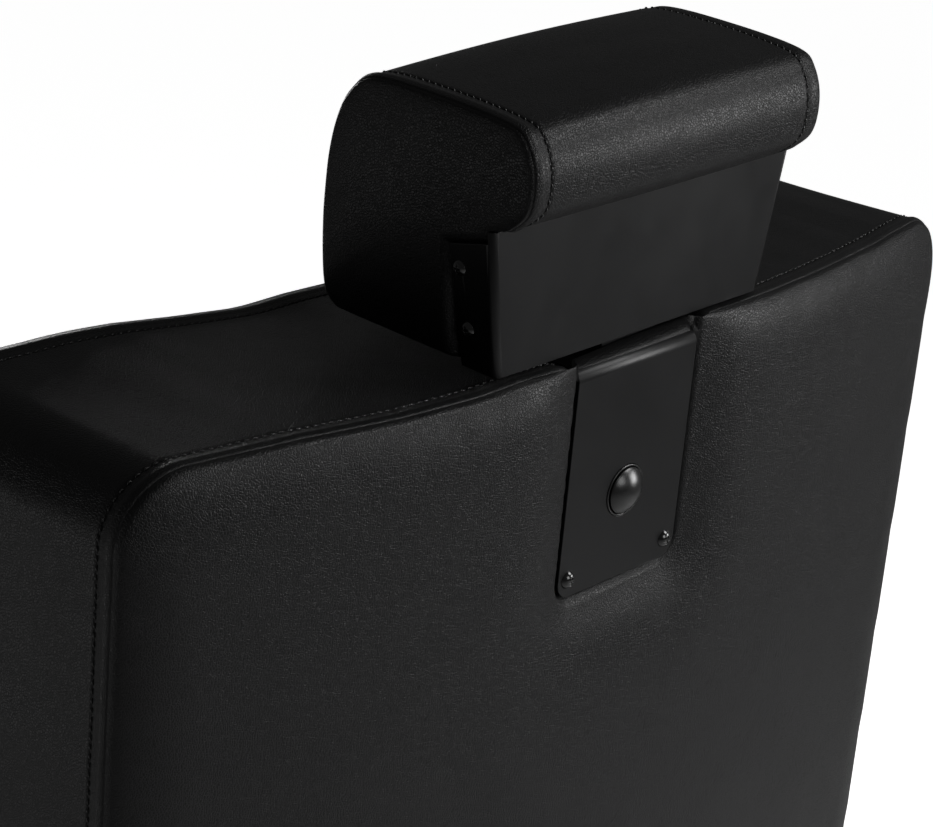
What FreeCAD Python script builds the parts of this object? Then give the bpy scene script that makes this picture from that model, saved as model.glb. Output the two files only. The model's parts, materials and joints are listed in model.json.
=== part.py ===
import FreeCAD, Part
import math
import os

# Threading chair: a hydraulic salon chair with a reclining back and a headrest that slides
# up from a push button lock. Sizes are millimetres.
# The chair faces -Y, X points to the sitter's left and Z points up. The origin is on the
# swivel axis, at the floor. The back and the headrest are drawn in the back's own frame and
# then leaned to their rest angle: there Y points to the rear, Z runs up along the back, and
# the origin is on the lock plate's rear face, at its top bend.

Vector = FreeCAD.Vector

# Clearances
bolt_gap = 0.1
run_gap = 0.05
slide_gap = 0.2
soft_gap = 0.3
overrun = 5.0

# How many short steps make a tube's bend, and the rim of a dome's flat as a share
bend_steps = 3
dome_flat_share = 0.5

# Base: rubber floor pad and steel plate
base_radius = 300.0
floor_pad_height = 5.0
base_plate_thickness = 12.0
base_bevel = 6.0

# Hydraulic pump
pump_radius = 45.0
pump_flange_width = 120.0
pump_flange_thickness = 10.0
pump_top_height = 262.0
pump_sump_depth = 30.0
cap_height = 16.0
cap_lip = 4.0
base_bolt_count = 4
base_bolt_radius = 4.0
base_bolt_head_radius = 6.5
base_bolt_head_height = 5.0
base_bolt_bite = 9.0
base_bolt_circle_radius = 61.0

# Pedal
pedal_height = 112.0
pedal_pivot_reach = 52.0
pedal_bar_width = 16.0
pedal_bar_height = 22.0
pedal_bar_drop = 16.0
pedal_bend_reach = 120.0
pedal_end_reach = 330.0
pedal_pad_length = 60.0
pedal_pad_width = 74.0
pedal_pad_thickness = 9.0
pedal_pad_round = 6.0
pedal_pad_bevel = 2.0
pedal_pin_radius = 5.0
boss_width = 44.0
boss_reach = 84.0
boss_height = 58.0
boss_drop = 42.0
boss_slot_drop = 30.0

# Ram and swivel
ram_radius = 25.0
ram_length = 220.0
ram_show = 12.0
spigot_radius = 15.0
ram_bolt_radius = 6.0
ram_bolt_length = 30.0
ram_bolt_head_radius = 21.0
ram_bolt_head_height = 8.0

# Mounting hub and seat frame
hub_radius = 35.0
hub_height = 34.0
hub_plate_thickness = 6.0
hub_plate_length = 236.0
hub_plate_side = 12.0
rail_spacing = 300.0
rail_width = 25.0
rail_height = 40.0
crossbar_width = 40.0
crossbar_thickness = 8.0

# Cushions: where their slices lie, and how their crown meets the seams
cushion_station_shares = (0.22, 0.62, 1.0)
cushion_corner_degrees = (30, 60, 90)
crown_end_share = 0.12
crown_roll_share = 0.85

# Seat
seat_width = 524.0
seat_rear_gap = 111.0
seat_front = 295.0
seat_height = 490.0
seat_board_thickness = 15.0
seat_board_inset = 10.0
seat_corner_radius = 45.0
seat_crown = 26.0
seat_drawn_in = 3.0
seat_roll = 34.0
seat_bolt_radius = 3.5
seat_bolt_head_radius = 6.5
seat_bolt_head_height = 3.6
seat_bolt_bite = 10.0

# Arms
arm_tube_radius = 12.5
arm_gap_to_seat = 17.5
arm_front = 150.0
arm_rear_gap = 151.0
arm_bend_radius = 55.0
arm_pad_top_height = 705.0
arm_pad_thickness = 45.0
arm_pad_width = 78.0
arm_pad_front = 235.0
arm_pad_rear_gap = 111.0
arm_pad_corner_radius = 30.0
arm_pad_crown = 6.0
arm_board_thickness = 8.0
arm_board_inset = 12.0
arm_bolt_bite = 15.0
arm_bolt_radius = 4.0
arm_bolt_head_radius = 7.0
arm_bolt_head_height = 4.0

# Footrest
foot_tube_radius = 12.5
foot_bend_radius = 50.0
foot_start = 178.0
foot_reach = 345.0
foot_bar_reach = 432.0
foot_bar_height = 165.0
foot_grip_length = 190.0
foot_grip_radius = 17.0
foot_bolt_radius = 4.0
foot_bolt_setback = 20.0
foot_bolt_pitch = 62.0
foot_bolt_head_radius = 7.0
foot_bolt_head_height = 4.0

# Recline: hinge, cross tube, gas spring and its release lever
recline_rest = 6.5
hinge_reach = 316.0
hinge_shaft_radius = 8.0
hinge_nut_radius = 13.0
hinge_nut_height = 8.0
hinge_washer_gap = 1.0
torque_tube_width = 26.0
strut_arm = 75.0
strut_arm_lead = 17.5
strut_cheek_thickness = 5.0
strut_cheek_radius = 11.0
strut_pin_radius = 4.0
strut_pin_head_radius = 6.0
strut_pin_head_height = 2.5
strut_eye_radius = 14.0
strut_eye_hole_radius = 7.8
strut_eye_width = 12.0
strut_front_reach = 100.0
strut_front_drop = 45.0
strut_cylinder_radius = 13.0
strut_cylinder_length = 145.0
strut_rod_radius = 5.0
strut_rod_length = 114.0
strut_bore_depth = 112.0
strut_neck = 8.0
head_length = 30.0
head_width = 16.0
head_height = 24.0
valve_radius = 2.5
valve_show = 6.0
valve_engaged = 3.0
valve_travel = 5.0
lever_setback = 30.0
lever_drop = 20.0
lever_shaft_radius = 6.0
lever_finger_thickness = 5.0
lever_finger_width = 14.0
lever_finger_gap = 1.2
lever_reach = 190.0
lever_arm_thickness = 6.0
lever_arm_height = 20.0
lever_grip_length = 92.0
lever_grip_width = 24.0
lever_grip_height = 30.0
lever_grip_bevel = 3.0
grip_outline_shares = ((0.0, -0.35), (0.2, -0.5), (1.0, -0.42), (1.0, 0.42), (0.2, 0.5), (0.0, 0.35))
lever_side_gap = 8.0
hanger_thickness = 6.0
hanger_radius = 13.0
hanger_inner_x = 34.0

# Back cushion
back_width = 620.0
back_length = 645.0
back_thickness = 156.0
back_seam_rise = 5.0
back_plan_sagitta = 32.0
back_corner_radius = 36.0
back_rear_crown = 10.0
back_front_crown = 20.0
back_roll = 45.0
back_drawn_in = 2.0
back_hinge_depth = 70.0
back_hinge_below = 32.0

# Back board and its two hinge bars
board_cover = 6.0
board_thickness = 12.0
board_inset = 34.0
board_top_inset = 26.0
bar_thickness = 5.0
bar_flange_width = 26.0
bar_leg_depth = 24.0
bar_flange_length = 230.0
bar_shoulder_rise = 112.0
bar_eye_radius = 17.0
board_bolt_radius = 4.0
board_bolt_inset = 30.0
board_bolt_low_inset = 20.0

# Lock plate, guide sleeve and push button
plate_width = 90.0
plate_drop = 122.0
plate_thickness = 3.0
plate_bend_radius = 3.0
plate_flange = 46.0
plate_corner_radius = 9.5
plate_screw_radius = 2.5
plate_screw_head_radius = 4.75
plate_screw_head_height = 2.75
plate_screw_length = 14.0
plate_screw_inset = 7.4
plate_screw_rise = 9.8
sleeve_wall = 2.5
sleeve_length = 114.0
button_drop = 74.0
button_radius = 12.2
button_show = 6.0
button_dome = 4.6
button_skirt = 1.4
button_travel = 5.0
button_stem_radius = 4.0
collar_radius = 13.7
collar_height = 0.6
collar_bore_gap = 0.4
spring_radius = 7.5
spring_wire = 1.0
latch_width = 30.0
latch_height = 8.0
latch_depth = 5.0
latch_gap = 0.3

# Headrest post, bracket and pad
post_width = 40.0
post_thickness = 8.0
post_top = 62.0
post_bottom = 196.0
post_travel = 100.0
post_notch_pitch = 20.0
post_notch_height = 9.0
post_notch_depth = 2.0
bracket_setback = 5.8
bracket_thickness = 3.0
bracket_bottom = 8.0
bracket_top = 82.0
bracket_bottom_width = 199.0
bracket_top_width = 224.0
bracket_flange = 26.6
bracket_flange_low = 22.0
bracket_flange_rear_height = 76.0
bracket_flange_front_height = 68.0
bracket_bend_radius = 4.0
bracket_screw_radius = 2.0
bracket_screw_head_radius = 3.8
bracket_screw_head_height = 2.2
bracket_screw_length = 16.0
bracket_screw_points = ((-23.0, 28.5), (-27.0, 58.5))
pad_depth = 130.6
pad_bottom = 12.0
pad_top = 135.2
pad_overhang = 13.8
pad_width = 213.0
pad_bottom_width = 199.0
pad_end_crown = 3.0
pad_outline_shares = (
    (0.93, 0.0), (0.985, 0.07), (0.998, 0.31), (0.985, 0.6), (0.948, 0.79), (0.887, 0.91), (0.78, 0.985),
    (0.46, 1.0), (0.13, 0.985), (0.045, 0.93), (0.004, 0.82), (0.015, 0.68), (0.10, 0.585),
)
pad_board_thickness = 17.0
pad_board_bottom = 20.0
pad_board_top = 72.0

# Places that follow from the sizes above
seat_depth = hinge_reach - seat_rear_gap + seat_front
arm_rear = hinge_reach - arm_rear_gap
arm_pad_rear = hinge_reach - arm_pad_rear_gap
pump_floor_height = floor_pad_height + base_plate_thickness
cap_top_height = pump_top_height + cap_height
shoulder_height = cap_top_height + ram_show
hub_bottom_height = shoulder_height + run_gap
hub_plate_height = hub_bottom_height + hub_height
rail_bottom_height = hub_plate_height + hub_plate_thickness
rail_top_height = rail_bottom_height + rail_height
rail_x = rail_spacing / 2
cushion_bottom_height = rail_top_height + seat_board_thickness
hinge_height = rail_bottom_height + rail_height / 2
arm_x = seat_width / 2 + arm_gap_to_seat + arm_tube_radius
arm_top_height = arm_pad_top_height - arm_pad_thickness - arm_board_thickness - arm_tube_radius
foot_start_height = rail_bottom_height - foot_tube_radius
strut_front_height = rail_bottom_height - strut_front_drop
post_front = bracket_setback + bracket_thickness
post_back = post_front + post_thickness
sleeve_half_width = post_width / 2 + slide_gap + sleeve_wall
sleeve_rear = post_front - slide_gap - sleeve_wall
sleeve_front = post_back + slide_gap + sleeve_wall
bar_x = rail_x - rail_width / 2 - hinge_washer_gap
back_hinge_drop = back_length - back_seam_rise + back_hinge_below
bar_shoulder_drop = back_hinge_drop - bar_shoulder_rise
bar_top_drop = bar_shoulder_drop - bar_flange_length
board_bolt_span = bar_flange_length - board_bolt_inset - board_bolt_low_inset


def line(a, b):
    """A straight edge between two points."""
    return Part.LineSegment(a, b).toShape()


def arc(a, through, b):
    """A round edge through three points."""
    return Part.Arc(a, through, b).toShape()


def loop(points):
    """A closed outline of straight edges."""
    return Part.makePolygon(list(points) + [points[0]])


def block(x0, x1, y0, y1, z0, z1):
    """A box between two corners."""
    return Part.makeBox(x1 - x0, y1 - y0, z1 - z0, Vector(x0, y0, z0))


def rod(radius, start, end):
    """A round bar from one point to another."""
    run = end - start
    return Part.makeCylinder(radius, run.Length, start, run)


def turned(edges):
    """A solid of revolution about Z, from edges that close an outline in the XZ plane."""
    outline = Part.Wire(Part.__sortEdges__(edges))
    return Part.Face(outline).revolve(Vector(0, 0, 0), Vector(0, 0, 1), 360)


def turned_loop(pairs):
    """A solid of revolution about Z, from the radius and height of each corner."""
    return turned(loop([Vector(r, 0, z) for r, z in pairs]).Edges)


def slab_x(pairs, x0, x1):
    """A flat plate square to X, from the Y and Z of each corner."""
    face = Part.Face(loop([Vector(x0, y, z) for y, z in pairs]))
    return face.extrude(Vector(x1 - x0, 0, 0))


def slab_y(pairs, y0, y1):
    """A flat plate square to Y, from the X and Z of each corner."""
    face = Part.Face(loop([Vector(x, y0, z) for x, z in pairs]))
    return face.extrude(Vector(0, y1 - y0, 0))


def rounded_rectangle(x0, x1, y0, y1, radius, z):
    """A level outline with four round corners."""
    near = radius * (1 - math.sqrt(0.5))
    return Part.Wire([
        line(Vector(x0 + radius, y0, z), Vector(x1 - radius, y0, z)),
        arc(Vector(x1 - radius, y0, z), Vector(x1 - near, y0 + near, z), Vector(x1, y0 + radius, z)),
        line(Vector(x1, y0 + radius, z), Vector(x1, y1 - radius, z)),
        arc(Vector(x1, y1 - radius, z), Vector(x1 - near, y1 - near, z), Vector(x1 - radius, y1, z)),
        line(Vector(x1 - radius, y1, z), Vector(x0 + radius, y1, z)),
        arc(Vector(x0 + radius, y1, z), Vector(x0 + near, y1 - near, z), Vector(x0, y1 - radius, z)),
        line(Vector(x0, y1 - radius, z), Vector(x0, y0 + radius, z)),
        arc(Vector(x0, y0 + radius, z), Vector(x0 + near, y0 + near, z), Vector(x0 + radius, y0, z)),
    ])


def bent_path(corners, radius):
    """Straight runs joined by tangent arcs of one radius."""
    edges = []
    start = corners[0]
    for before, corner, after in zip(corners, corners[1:], corners[2:]):
        inward = (before - corner).normalize()
        outward = (after - corner).normalize()
        half_turn = (math.pi - inward.getAngle(outward)) / 2
        setback = radius * math.tan(half_turn)
        middle = (inward + outward).normalize() * (radius / math.cos(half_turn) - radius)
        edges.append(line(start, corner + inward * setback))
        edges.append(arc(corner + inward * setback, corner + middle, corner + outward * setback))
        start = corner + outward * setback
    edges.append(line(start, corners[-1]))
    return Part.Wire(edges)


def bent_bar(corners, bend_radius, radius):
    """A round bar or plugged tube: straight runs joined by bends, each drawn in short steps."""
    places = [(corners[0], (corners[1] - corners[0]).normalize())]
    for before, corner, after in zip(corners, corners[1:], corners[2:]):
        ahead = (corner - before).normalize()
        onward = (after - corner).normalize()
        turn = ahead.getAngle(onward)
        centre = corner + (onward - ahead).normalize() * (bend_radius / math.cos(turn / 2))
        spoke = (corner - ahead * (bend_radius * math.tan(turn / 2)) - centre).normalize()
        for step in range(bend_steps + 1):
            angle = turn * step / bend_steps
            place = centre + (spoke * math.cos(angle) + ahead * math.sin(angle)) * bend_radius
            places.append((place, ahead * math.cos(angle) - spoke * math.sin(angle)))
    places.append((corners[-1], (corners[-1] - corners[-2]).normalize()))
    rings = []
    seam = Vector(1, 0, 0)
    if abs(places[0][1].x) > abs(places[0][1].y):
        seam = Vector(0, 1, 0)
    for place, way in places:
        seam = (seam - way * seam.dot(way)).normalize()
        circle = Part.Circle(place, way, radius)
        circle.XAxis = seam
        rings.append(Part.Wire([circle.toShape()]))
    return Part.makeLoft(rings, True, True)


def aimed(shape, point, direction):
    """Turns a piece drawn along +Z to a direction, and moves it to a point."""
    placed = shape.copy()
    turn = FreeCAD.Rotation(Vector(0, 0, 1), direction)
    placed.Placement = FreeCAD.Placement(point, turn)
    return placed


def dome(radius, z, height):
    """The outline of a dome about Z, from its rim to the axis, as radius and Z: a slope and a flat."""
    ball = (radius * radius + height * height) / (2 * height)
    edge = radius * dome_flat_share
    top = z + height - ball + math.sqrt(ball * ball - edge * edge)
    return [(radius, z), (edge, top), (0, top)]


def dome_screw(radius, length, head_radius, head_height):
    """A screw with a low domed head. It points along -Z and its head rests at zero."""
    head = turned_loop([(0, 0)] + dome(head_radius, 0, head_height))
    return head.fuse(shank(radius, Vector(0, 0, -length), Vector(0, 0, 0))).removeSplitter()


def hexagon(radius, z0, z1):
    """A six sided prism about Z."""
    corners = []
    for step in range(6):
        turn = math.pi * step / 3
        corners.append(Vector(radius * math.cos(turn), radius * math.sin(turn), z0))
    return Part.Face(loop(corners)).extrude(Vector(0, 0, z1 - z0))


def shank(radius, start, end):
    """A bolt's shank or the hole for it, drawn with eight flats from one point to another."""
    corners = []
    for step in range(8):
        turn = math.pi * (step + 0.5) / 4
        corners.append(Vector(radius * math.cos(turn), radius * math.sin(turn), 0))
    run = end - start
    return aimed(Part.Face(loop(corners)).extrude(Vector(0, 0, run.Length)), start, run)


def hex_bolt(radius, length, head_radius, head_height):
    """A hexagon headed bolt. It points along -Z and its head rests at zero."""
    stem = shank(radius, Vector(0, 0, -length), Vector(0, 0, 0))
    return stem.fuse(hexagon(head_radius, 0, head_height)).removeSplitter()


def group(shapes):
    """Alike pieces that share one node."""
    return Part.makeCompound(shapes)


def leaned(shape):
    """Moves a piece from the back's own frame to its place at the rest angle."""
    moved = shape.copy()
    moved.translate(Vector(0, hinge_reach + back_hinge_depth, hinge_height + back_hinge_drop))
    moved.rotate(Vector(0, hinge_reach, hinge_height), Vector(1, 0, 0), -recline_rest)
    return moved


def mirrored(shape):
    """The same piece on the sitter's other side."""
    return shape.mirror(Vector(0, 0, 0), Vector(1, 0, 0))


def export(name, shape):
    """Writes one node."""
    solids = shape.Solids
    if not solids or not shape.isValid():
        print("check", name, len(solids), shape.isValid())
    if len(solids) == 1:
        shape = solids[0]
    shape.exportStep("parts/" + name + ".step")


# Base

def floor_pad():
    """The rubber sheet under the base."""
    return rod(base_radius - base_bevel / 2, Vector(0, 0, 0), Vector(0, 0, floor_pad_height))


def base_bolt_places():
    """Where the bolts hold the pump's flange to the casting."""
    height = pump_floor_height + pump_flange_thickness
    places = []
    for step in range(base_bolt_count):
        turn = 2 * math.pi * (step + 0.5) / base_bolt_count
        x = base_bolt_circle_radius * math.sin(turn)
        y = base_bolt_circle_radius * math.cos(turn)
        places.append(Vector(x, y, height))
    return places


def base_plate():
    """The round steel plate with its bevelled edge, drilled for the pump's bolts."""
    top = pump_floor_height
    solid = turned_loop([
        (0, floor_pad_height),
        (base_radius, floor_pad_height),
        (base_radius, top - base_bevel),
        (base_radius - base_bevel, top),
        (0, top),
    ])
    for place in base_bolt_places():
        deep = Vector(place.x, place.y, top - base_bolt_bite - bolt_gap)
        solid = solid.cut(shank(base_bolt_radius + bolt_gap, deep, place))
    return solid


def pump_body():
    """The pump's barrel with its square flange and the boss that carries the pedal."""
    side = pump_flange_width / 2
    flange_top = pump_floor_height + pump_flange_thickness
    flange = block(-side, side, -side, side, pump_floor_height, flange_top)
    barrel = rod(pump_radius, Vector(0, 0, flange_top), Vector(0, 0, pump_top_height))
    low = pedal_height - boss_drop
    boss = block(-boss_width / 2, boss_width / 2, 0, boss_reach, low, low + boss_height)
    solid = barrel.fuse([flange, boss]).removeSplitter()
    bore_bottom = Vector(0, 0, shoulder_height - ram_length - pump_sump_depth)
    solid = solid.cut(rod(ram_radius + run_gap, bore_bottom, Vector(0, 0, pump_top_height + overrun)))
    slot_floor = pedal_height - boss_slot_drop
    slot_front = pedal_pivot_reach - pedal_bar_height * 2 / 3
    slot_half = pedal_bar_width / 2 + slide_gap * 2
    solid = solid.cut(block(
        -slot_half, slot_half, slot_front, boss_reach + overrun, slot_floor, low + boss_height + overrun,
    ))
    solid = solid.cut(rod(
        pedal_pin_radius + run_gap,
        Vector(-boss_width, pedal_pivot_reach, pedal_height),
        Vector(boss_width, pedal_pivot_reach, pedal_height),
    ))
    for place in base_bolt_places():
        deep = Vector(place.x, place.y, pump_floor_height - overrun)
        solid = solid.cut(shank(base_bolt_radius + bolt_gap, deep, place + Vector(0, 0, overrun)))
    return solid


def pump_cap():
    """The collar that closes the pump and guides the ram."""
    outer = pump_radius + cap_lip
    bore = ram_radius + run_gap
    return turned_loop([
        (bore, pump_top_height), (outer, pump_top_height), (outer, cap_top_height), (bore, cap_top_height),
    ])


def base_bolts():
    """The bolts in the pump's flange."""
    length = pump_flange_thickness + base_bolt_bite
    screw = hex_bolt(base_bolt_radius, length, base_bolt_head_radius, base_bolt_head_height)
    return group([aimed(screw, place, Vector(0, 0, 1)) for place in base_bolt_places()])


# Pedal

def pedal_lever():
    """The cranked flat bar that the stylist treads on, bored for its pin."""
    half = pedal_bar_height / 2
    nose = pedal_pivot_reach - half
    end = pedal_end_reach
    low = pedal_height - pedal_bar_drop
    bend_end = pedal_bend_reach + pedal_bar_height * 2
    bar = slab_x([
        (nose, pedal_height - half),
        (pedal_bend_reach, pedal_height - half),
        (bend_end, low - half),
        (end, low - half),
        (end, low),
        (bend_end + half, low),
        (pedal_bend_reach + half, pedal_height + half),
        (nose, pedal_height + half),
    ], -pedal_bar_width / 2, pedal_bar_width / 2)
    pin = rod(
        pedal_pin_radius + run_gap,
        Vector(-boss_width, pedal_pivot_reach, pedal_height),
        Vector(boss_width, pedal_pivot_reach, pedal_height),
    )
    return bar.cut(pin)


def pedal_pad():
    """The rubber foot pad on the pedal's end, with cut corners and a bevelled top."""
    low = pedal_height - pedal_bar_drop
    y1 = pedal_end_reach + pedal_pad_round
    y0 = y1 - pedal_pad_length
    half = pedal_pad_width / 2
    z1 = low + pedal_pad_thickness
    cut = pedal_pad_round
    outline = loop([
        Vector(-half, y0 + cut, low), Vector(-half + cut, y0, low), Vector(half - cut, y0, low),
        Vector(half, y0 + cut, low), Vector(half, y1 - cut, low), Vector(half - cut, y1, low),
        Vector(-half + cut, y1, low), Vector(-half, y1 - cut, low),
    ])
    solid = Part.Face(outline).extrude(Vector(0, 0, z1 - low))
    rim = [edge for edge in solid.Edges if edge.BoundBox.ZMin > z1 - run_gap]
    return solid.makeChamfer(pedal_pad_bevel, rim)


def pedal_pin():
    """The pin through the boss and the pedal bar."""
    return rod(
        pedal_pin_radius,
        Vector(-boss_width / 2, pedal_pivot_reach, pedal_height),
        Vector(boss_width / 2, pedal_pivot_reach, pedal_height),
    )


# Ram and swivel

def ram():
    """The lifting ram, with the spigot that the seat turns on, drilled for its bolt."""
    top = Vector(0, 0, rail_bottom_height)
    solid = turned_loop([
        (0, shoulder_height - ram_length),
        (ram_radius, shoulder_height - ram_length),
        (ram_radius, shoulder_height),
        (spigot_radius, shoulder_height),
        (spigot_radius, rail_bottom_height),
        (0, rail_bottom_height),
    ])
    deep = top - Vector(0, 0, ram_bolt_length + bolt_gap)
    return solid.cut(shank(ram_bolt_radius + bolt_gap, deep, top + Vector(0, 0, overrun)))


def ram_bolt():
    """The bolt that keeps the seat on the spigot, with its broad head just over the plate."""
    bolt = hex_bolt(ram_bolt_radius, ram_bolt_length, ram_bolt_head_radius, ram_bolt_head_height)
    return aimed(bolt, Vector(0, 0, rail_bottom_height), Vector(0, 0, 1))


# Seat frame

def mount_hub():
    """The hub and plate that join the seat frame to the ram's spigot."""
    half_x = rail_x + rail_width / 2 + hub_plate_side
    half_y = hub_plate_length / 2
    plate = block(-half_x, half_x, -half_y, half_y, hub_plate_height, rail_bottom_height)
    hub = rod(hub_radius, Vector(0, 0, hub_bottom_height), Vector(0, 0, hub_plate_height))
    low = Vector(0, 0, hub_bottom_height - overrun)
    solid = plate.fuse(hub).removeSplitter()
    solid = solid.cut(rod(spigot_radius + run_gap, low, Vector(0, 0, rail_top_height)))
    for place in seat_bolt_places():
        start = place - Vector(0, 0, overrun)
        end = Vector(place.x, place.y, rail_bottom_height + overrun)
        solid = solid.cut(shank(seat_bolt_radius + bolt_gap, start, end))
    return solid


def foot_bolt_places():
    """Where the footrest's tube is bolted up into the rails."""
    places = []
    for side in (-1, 1):
        for step in range(2):
            y = -(foot_start + foot_bolt_setback + foot_bolt_pitch * step)
            places.append(Vector(side * rail_x, y, foot_start_height - foot_tube_radius))
    return places


def seat_bolt_places():
    """Where the plate and the rails are bolted up into the seat board."""
    reach = hub_plate_length / 2 - hub_plate_side * 3 / 2
    places = []
    for side in (-1, 1):
        for y in (-reach, reach):
            places.append(Vector(side * rail_x, y, hub_plate_height))
    return places


def rail():
    """The seat rail on the sitter's left, with its round nose at the hinge."""
    x0 = rail_x - rail_width / 2
    x1 = rail_x + rail_width / 2
    front = -(seat_front - seat_board_inset)
    solid = block(x0, x1, front, hinge_reach, rail_bottom_height, rail_top_height)
    y = hinge_reach
    nose = rod(rail_height / 2, Vector(x0, y, hinge_height), Vector(x1, y, hinge_height))
    solid = solid.fuse(nose).removeSplitter()
    solid = solid.cut(rod(
        hinge_shaft_radius + run_gap,
        Vector(x0 - overrun, hinge_reach, hinge_height),
        Vector(x1 + overrun, hinge_reach, hinge_height),
    ))
    for place in foot_bolt_places():
        start = Vector(place.x, place.y, rail_bottom_height - overrun)
        solid = solid.cut(shank(foot_bolt_radius + bolt_gap, start, Vector(place.x, place.y, hinge_height)))
    for place in seat_bolt_places():
        start = place - Vector(0, 0, overrun)
        end = Vector(place.x, place.y, rail_top_height + overrun)
        solid = solid.cut(shank(seat_bolt_radius + bolt_gap, start, end))
    return solid


def crossbar(y):
    """A flat bar under the rails that carries both arms."""
    half = arm_x + arm_tube_radius
    z0 = rail_bottom_height - crossbar_thickness
    solid = block(-half, half, y - crossbar_width / 2, y + crossbar_width / 2, z0, rail_bottom_height)
    for side in (-1, 1):
        start = Vector(side * arm_x, y, z0 - overrun)
        end = Vector(side * arm_x, y, rail_top_height)
        solid = solid.cut(shank(arm_bolt_radius + bolt_gap, start, end))
    return solid


def seat_bolts():
    """The bolts from the hub's plate through the rails into the seat board."""
    length = hub_plate_thickness + rail_height + seat_bolt_bite
    screw = hex_bolt(seat_bolt_radius, length, seat_bolt_head_radius, seat_bolt_head_height)
    return [aimed(screw, place, Vector(0, 0, -1)) for place in seat_bolt_places()]


# Seat

def seat_board():
    """The plywood board under the seat cushion."""
    half = seat_width / 2 - seat_board_inset
    y0 = -seat_front + seat_board_inset
    y1 = seat_depth - seat_front - seat_board_inset
    outline = rounded_rectangle(-half, half, y0, y1, seat_corner_radius, rail_top_height)
    solid = Part.Face(outline).extrude(Vector(0, 0, seat_board_thickness))
    for place in seat_bolt_places():
        start = Vector(place.x, place.y, rail_top_height - overrun)
        end = Vector(place.x, place.y, rail_top_height + seat_bolt_bite + bolt_gap)
        solid = solid.cut(shank(seat_bolt_radius + bolt_gap, start, end))
    return solid


def seat_cushion():
    """The boxed seat cushion with its crowned top, drawn like the back and laid flat."""
    sizes = {
        "half": seat_width / 2, "corner": seat_corner_radius, "roll": seat_roll, "length": seat_depth,
        "thickness": seat_height - cushion_bottom_height - seat_crown, "front": seat_crown, "rear": 0,
        "drawn_in": seat_drawn_in, "sagitta": 0,
    }
    body = cushion(sizes)
    body.rotate(Vector(0, 0, 0), Vector(1, 0, 0), -90)
    body.translate(Vector(0, seat_depth - seat_front, cushion_bottom_height))
    return body


# Arms

def arm_frame():
    """The bent chromed tube of the left arm, with plugged feet."""
    foot = rail_bottom_height
    tube = bent_bar([
        Vector(arm_x, -arm_front, foot),
        Vector(arm_x, -arm_front, arm_top_height),
        Vector(arm_x, arm_rear, arm_top_height),
        Vector(arm_x, arm_rear, foot),
    ], arm_bend_radius, arm_tube_radius)
    radius = arm_bolt_radius + bolt_gap
    for y in (-arm_front, arm_rear):
        start = Vector(arm_x, y, foot - overrun)
        tube = tube.cut(shank(radius, start, Vector(arm_x, y, foot + arm_bolt_bite + bolt_gap)))
    for y in arm_screw_places():
        start = Vector(arm_x, y, arm_top_height - bolt_gap)
        tube = tube.cut(shank(radius, start, start + Vector(0, 0, arm_tube_radius + overrun)))
    return tube


def arm_screw_places():
    """Where the arm pad's board is screwed down to the tube."""
    return (-arm_front + arm_bend_radius * 3 / 2, arm_rear - arm_bend_radius * 3 / 2)


def arm_bolts():
    """The bolts under the crossbars, and the sunk ones from the arms' boards into the tubes."""
    foot_length = crossbar_thickness + arm_bolt_bite
    foot_bolt = hex_bolt(arm_bolt_radius, foot_length, arm_bolt_head_radius, arm_bolt_head_height)
    down = Vector(0, 0, -1)
    pieces = []
    for x in (-arm_x, arm_x):
        for y in (-arm_front, arm_rear):
            place = Vector(x, y, rail_bottom_height - crossbar_thickness)
            pieces.append(aimed(foot_bolt, place, down))
        for y in arm_screw_places():
            low = Vector(x, y, arm_top_height)
            high = low + Vector(0, 0, arm_tube_radius + arm_board_thickness)
            pieces.append(shank(arm_bolt_radius, low, high))
    return pieces


def arm_board():
    """The board between the left arm's tube and its pad, with cut corners."""
    z0 = arm_top_height + arm_tube_radius
    half = arm_pad_width / 2 - arm_board_inset
    y0 = -arm_pad_front + arm_board_inset
    y1 = arm_pad_rear - arm_board_inset
    cut = half / 2
    outline = loop([
        Vector(arm_x - half, y0 + cut, z0), Vector(arm_x - half + cut, y0, z0),
        Vector(arm_x + half - cut, y0, z0), Vector(arm_x + half, y0 + cut, z0),
        Vector(arm_x + half, y1 - cut, z0), Vector(arm_x + half - cut, y1, z0),
        Vector(arm_x - half + cut, y1, z0), Vector(arm_x - half, y1 - cut, z0),
    ])
    solid = Part.Face(outline).extrude(Vector(0, 0, arm_board_thickness))
    for y in arm_screw_places():
        start = Vector(arm_x, y, z0 - overrun)
        end = Vector(arm_x, y, z0 + arm_board_thickness + overrun)
        solid = solid.cut(shank(arm_bolt_radius + bolt_gap, start, end))
    return solid


def arm_pad():
    """The padded, crowned top of the left arm, with round corners."""
    bottom = arm_pad_top_height - arm_pad_thickness + soft_gap
    half = arm_pad_width / 2
    foot = half - arm_pad_crown / 2
    brow = arm_pad_top_height - arm_pad_crown * 2
    middle = (bottom + brow) / 2
    y0 = -arm_pad_front

    def at(x, z):
        return Vector(arm_x + x, y0, z)

    section = Part.Wire([
        line(at(-foot, bottom), at(foot, bottom)),
        arc(at(foot, bottom), at(half, middle), at(foot, brow)),
        arc(at(foot, brow), at(0, arm_pad_top_height), at(-foot, brow)),
        arc(at(-foot, brow), at(-half, middle), at(-foot, bottom)),
    ])
    body = Part.Face(section).extrude(Vector(0, arm_pad_front + arm_pad_rear, 0))
    low = bottom - overrun
    plan = rounded_rectangle(arm_x - half, arm_x + half, y0, arm_pad_rear, arm_pad_corner_radius, low)
    return body.common(Part.Face(plan).extrude(Vector(0, 0, arm_pad_thickness + overrun * 2)))


# Footrest

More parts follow.
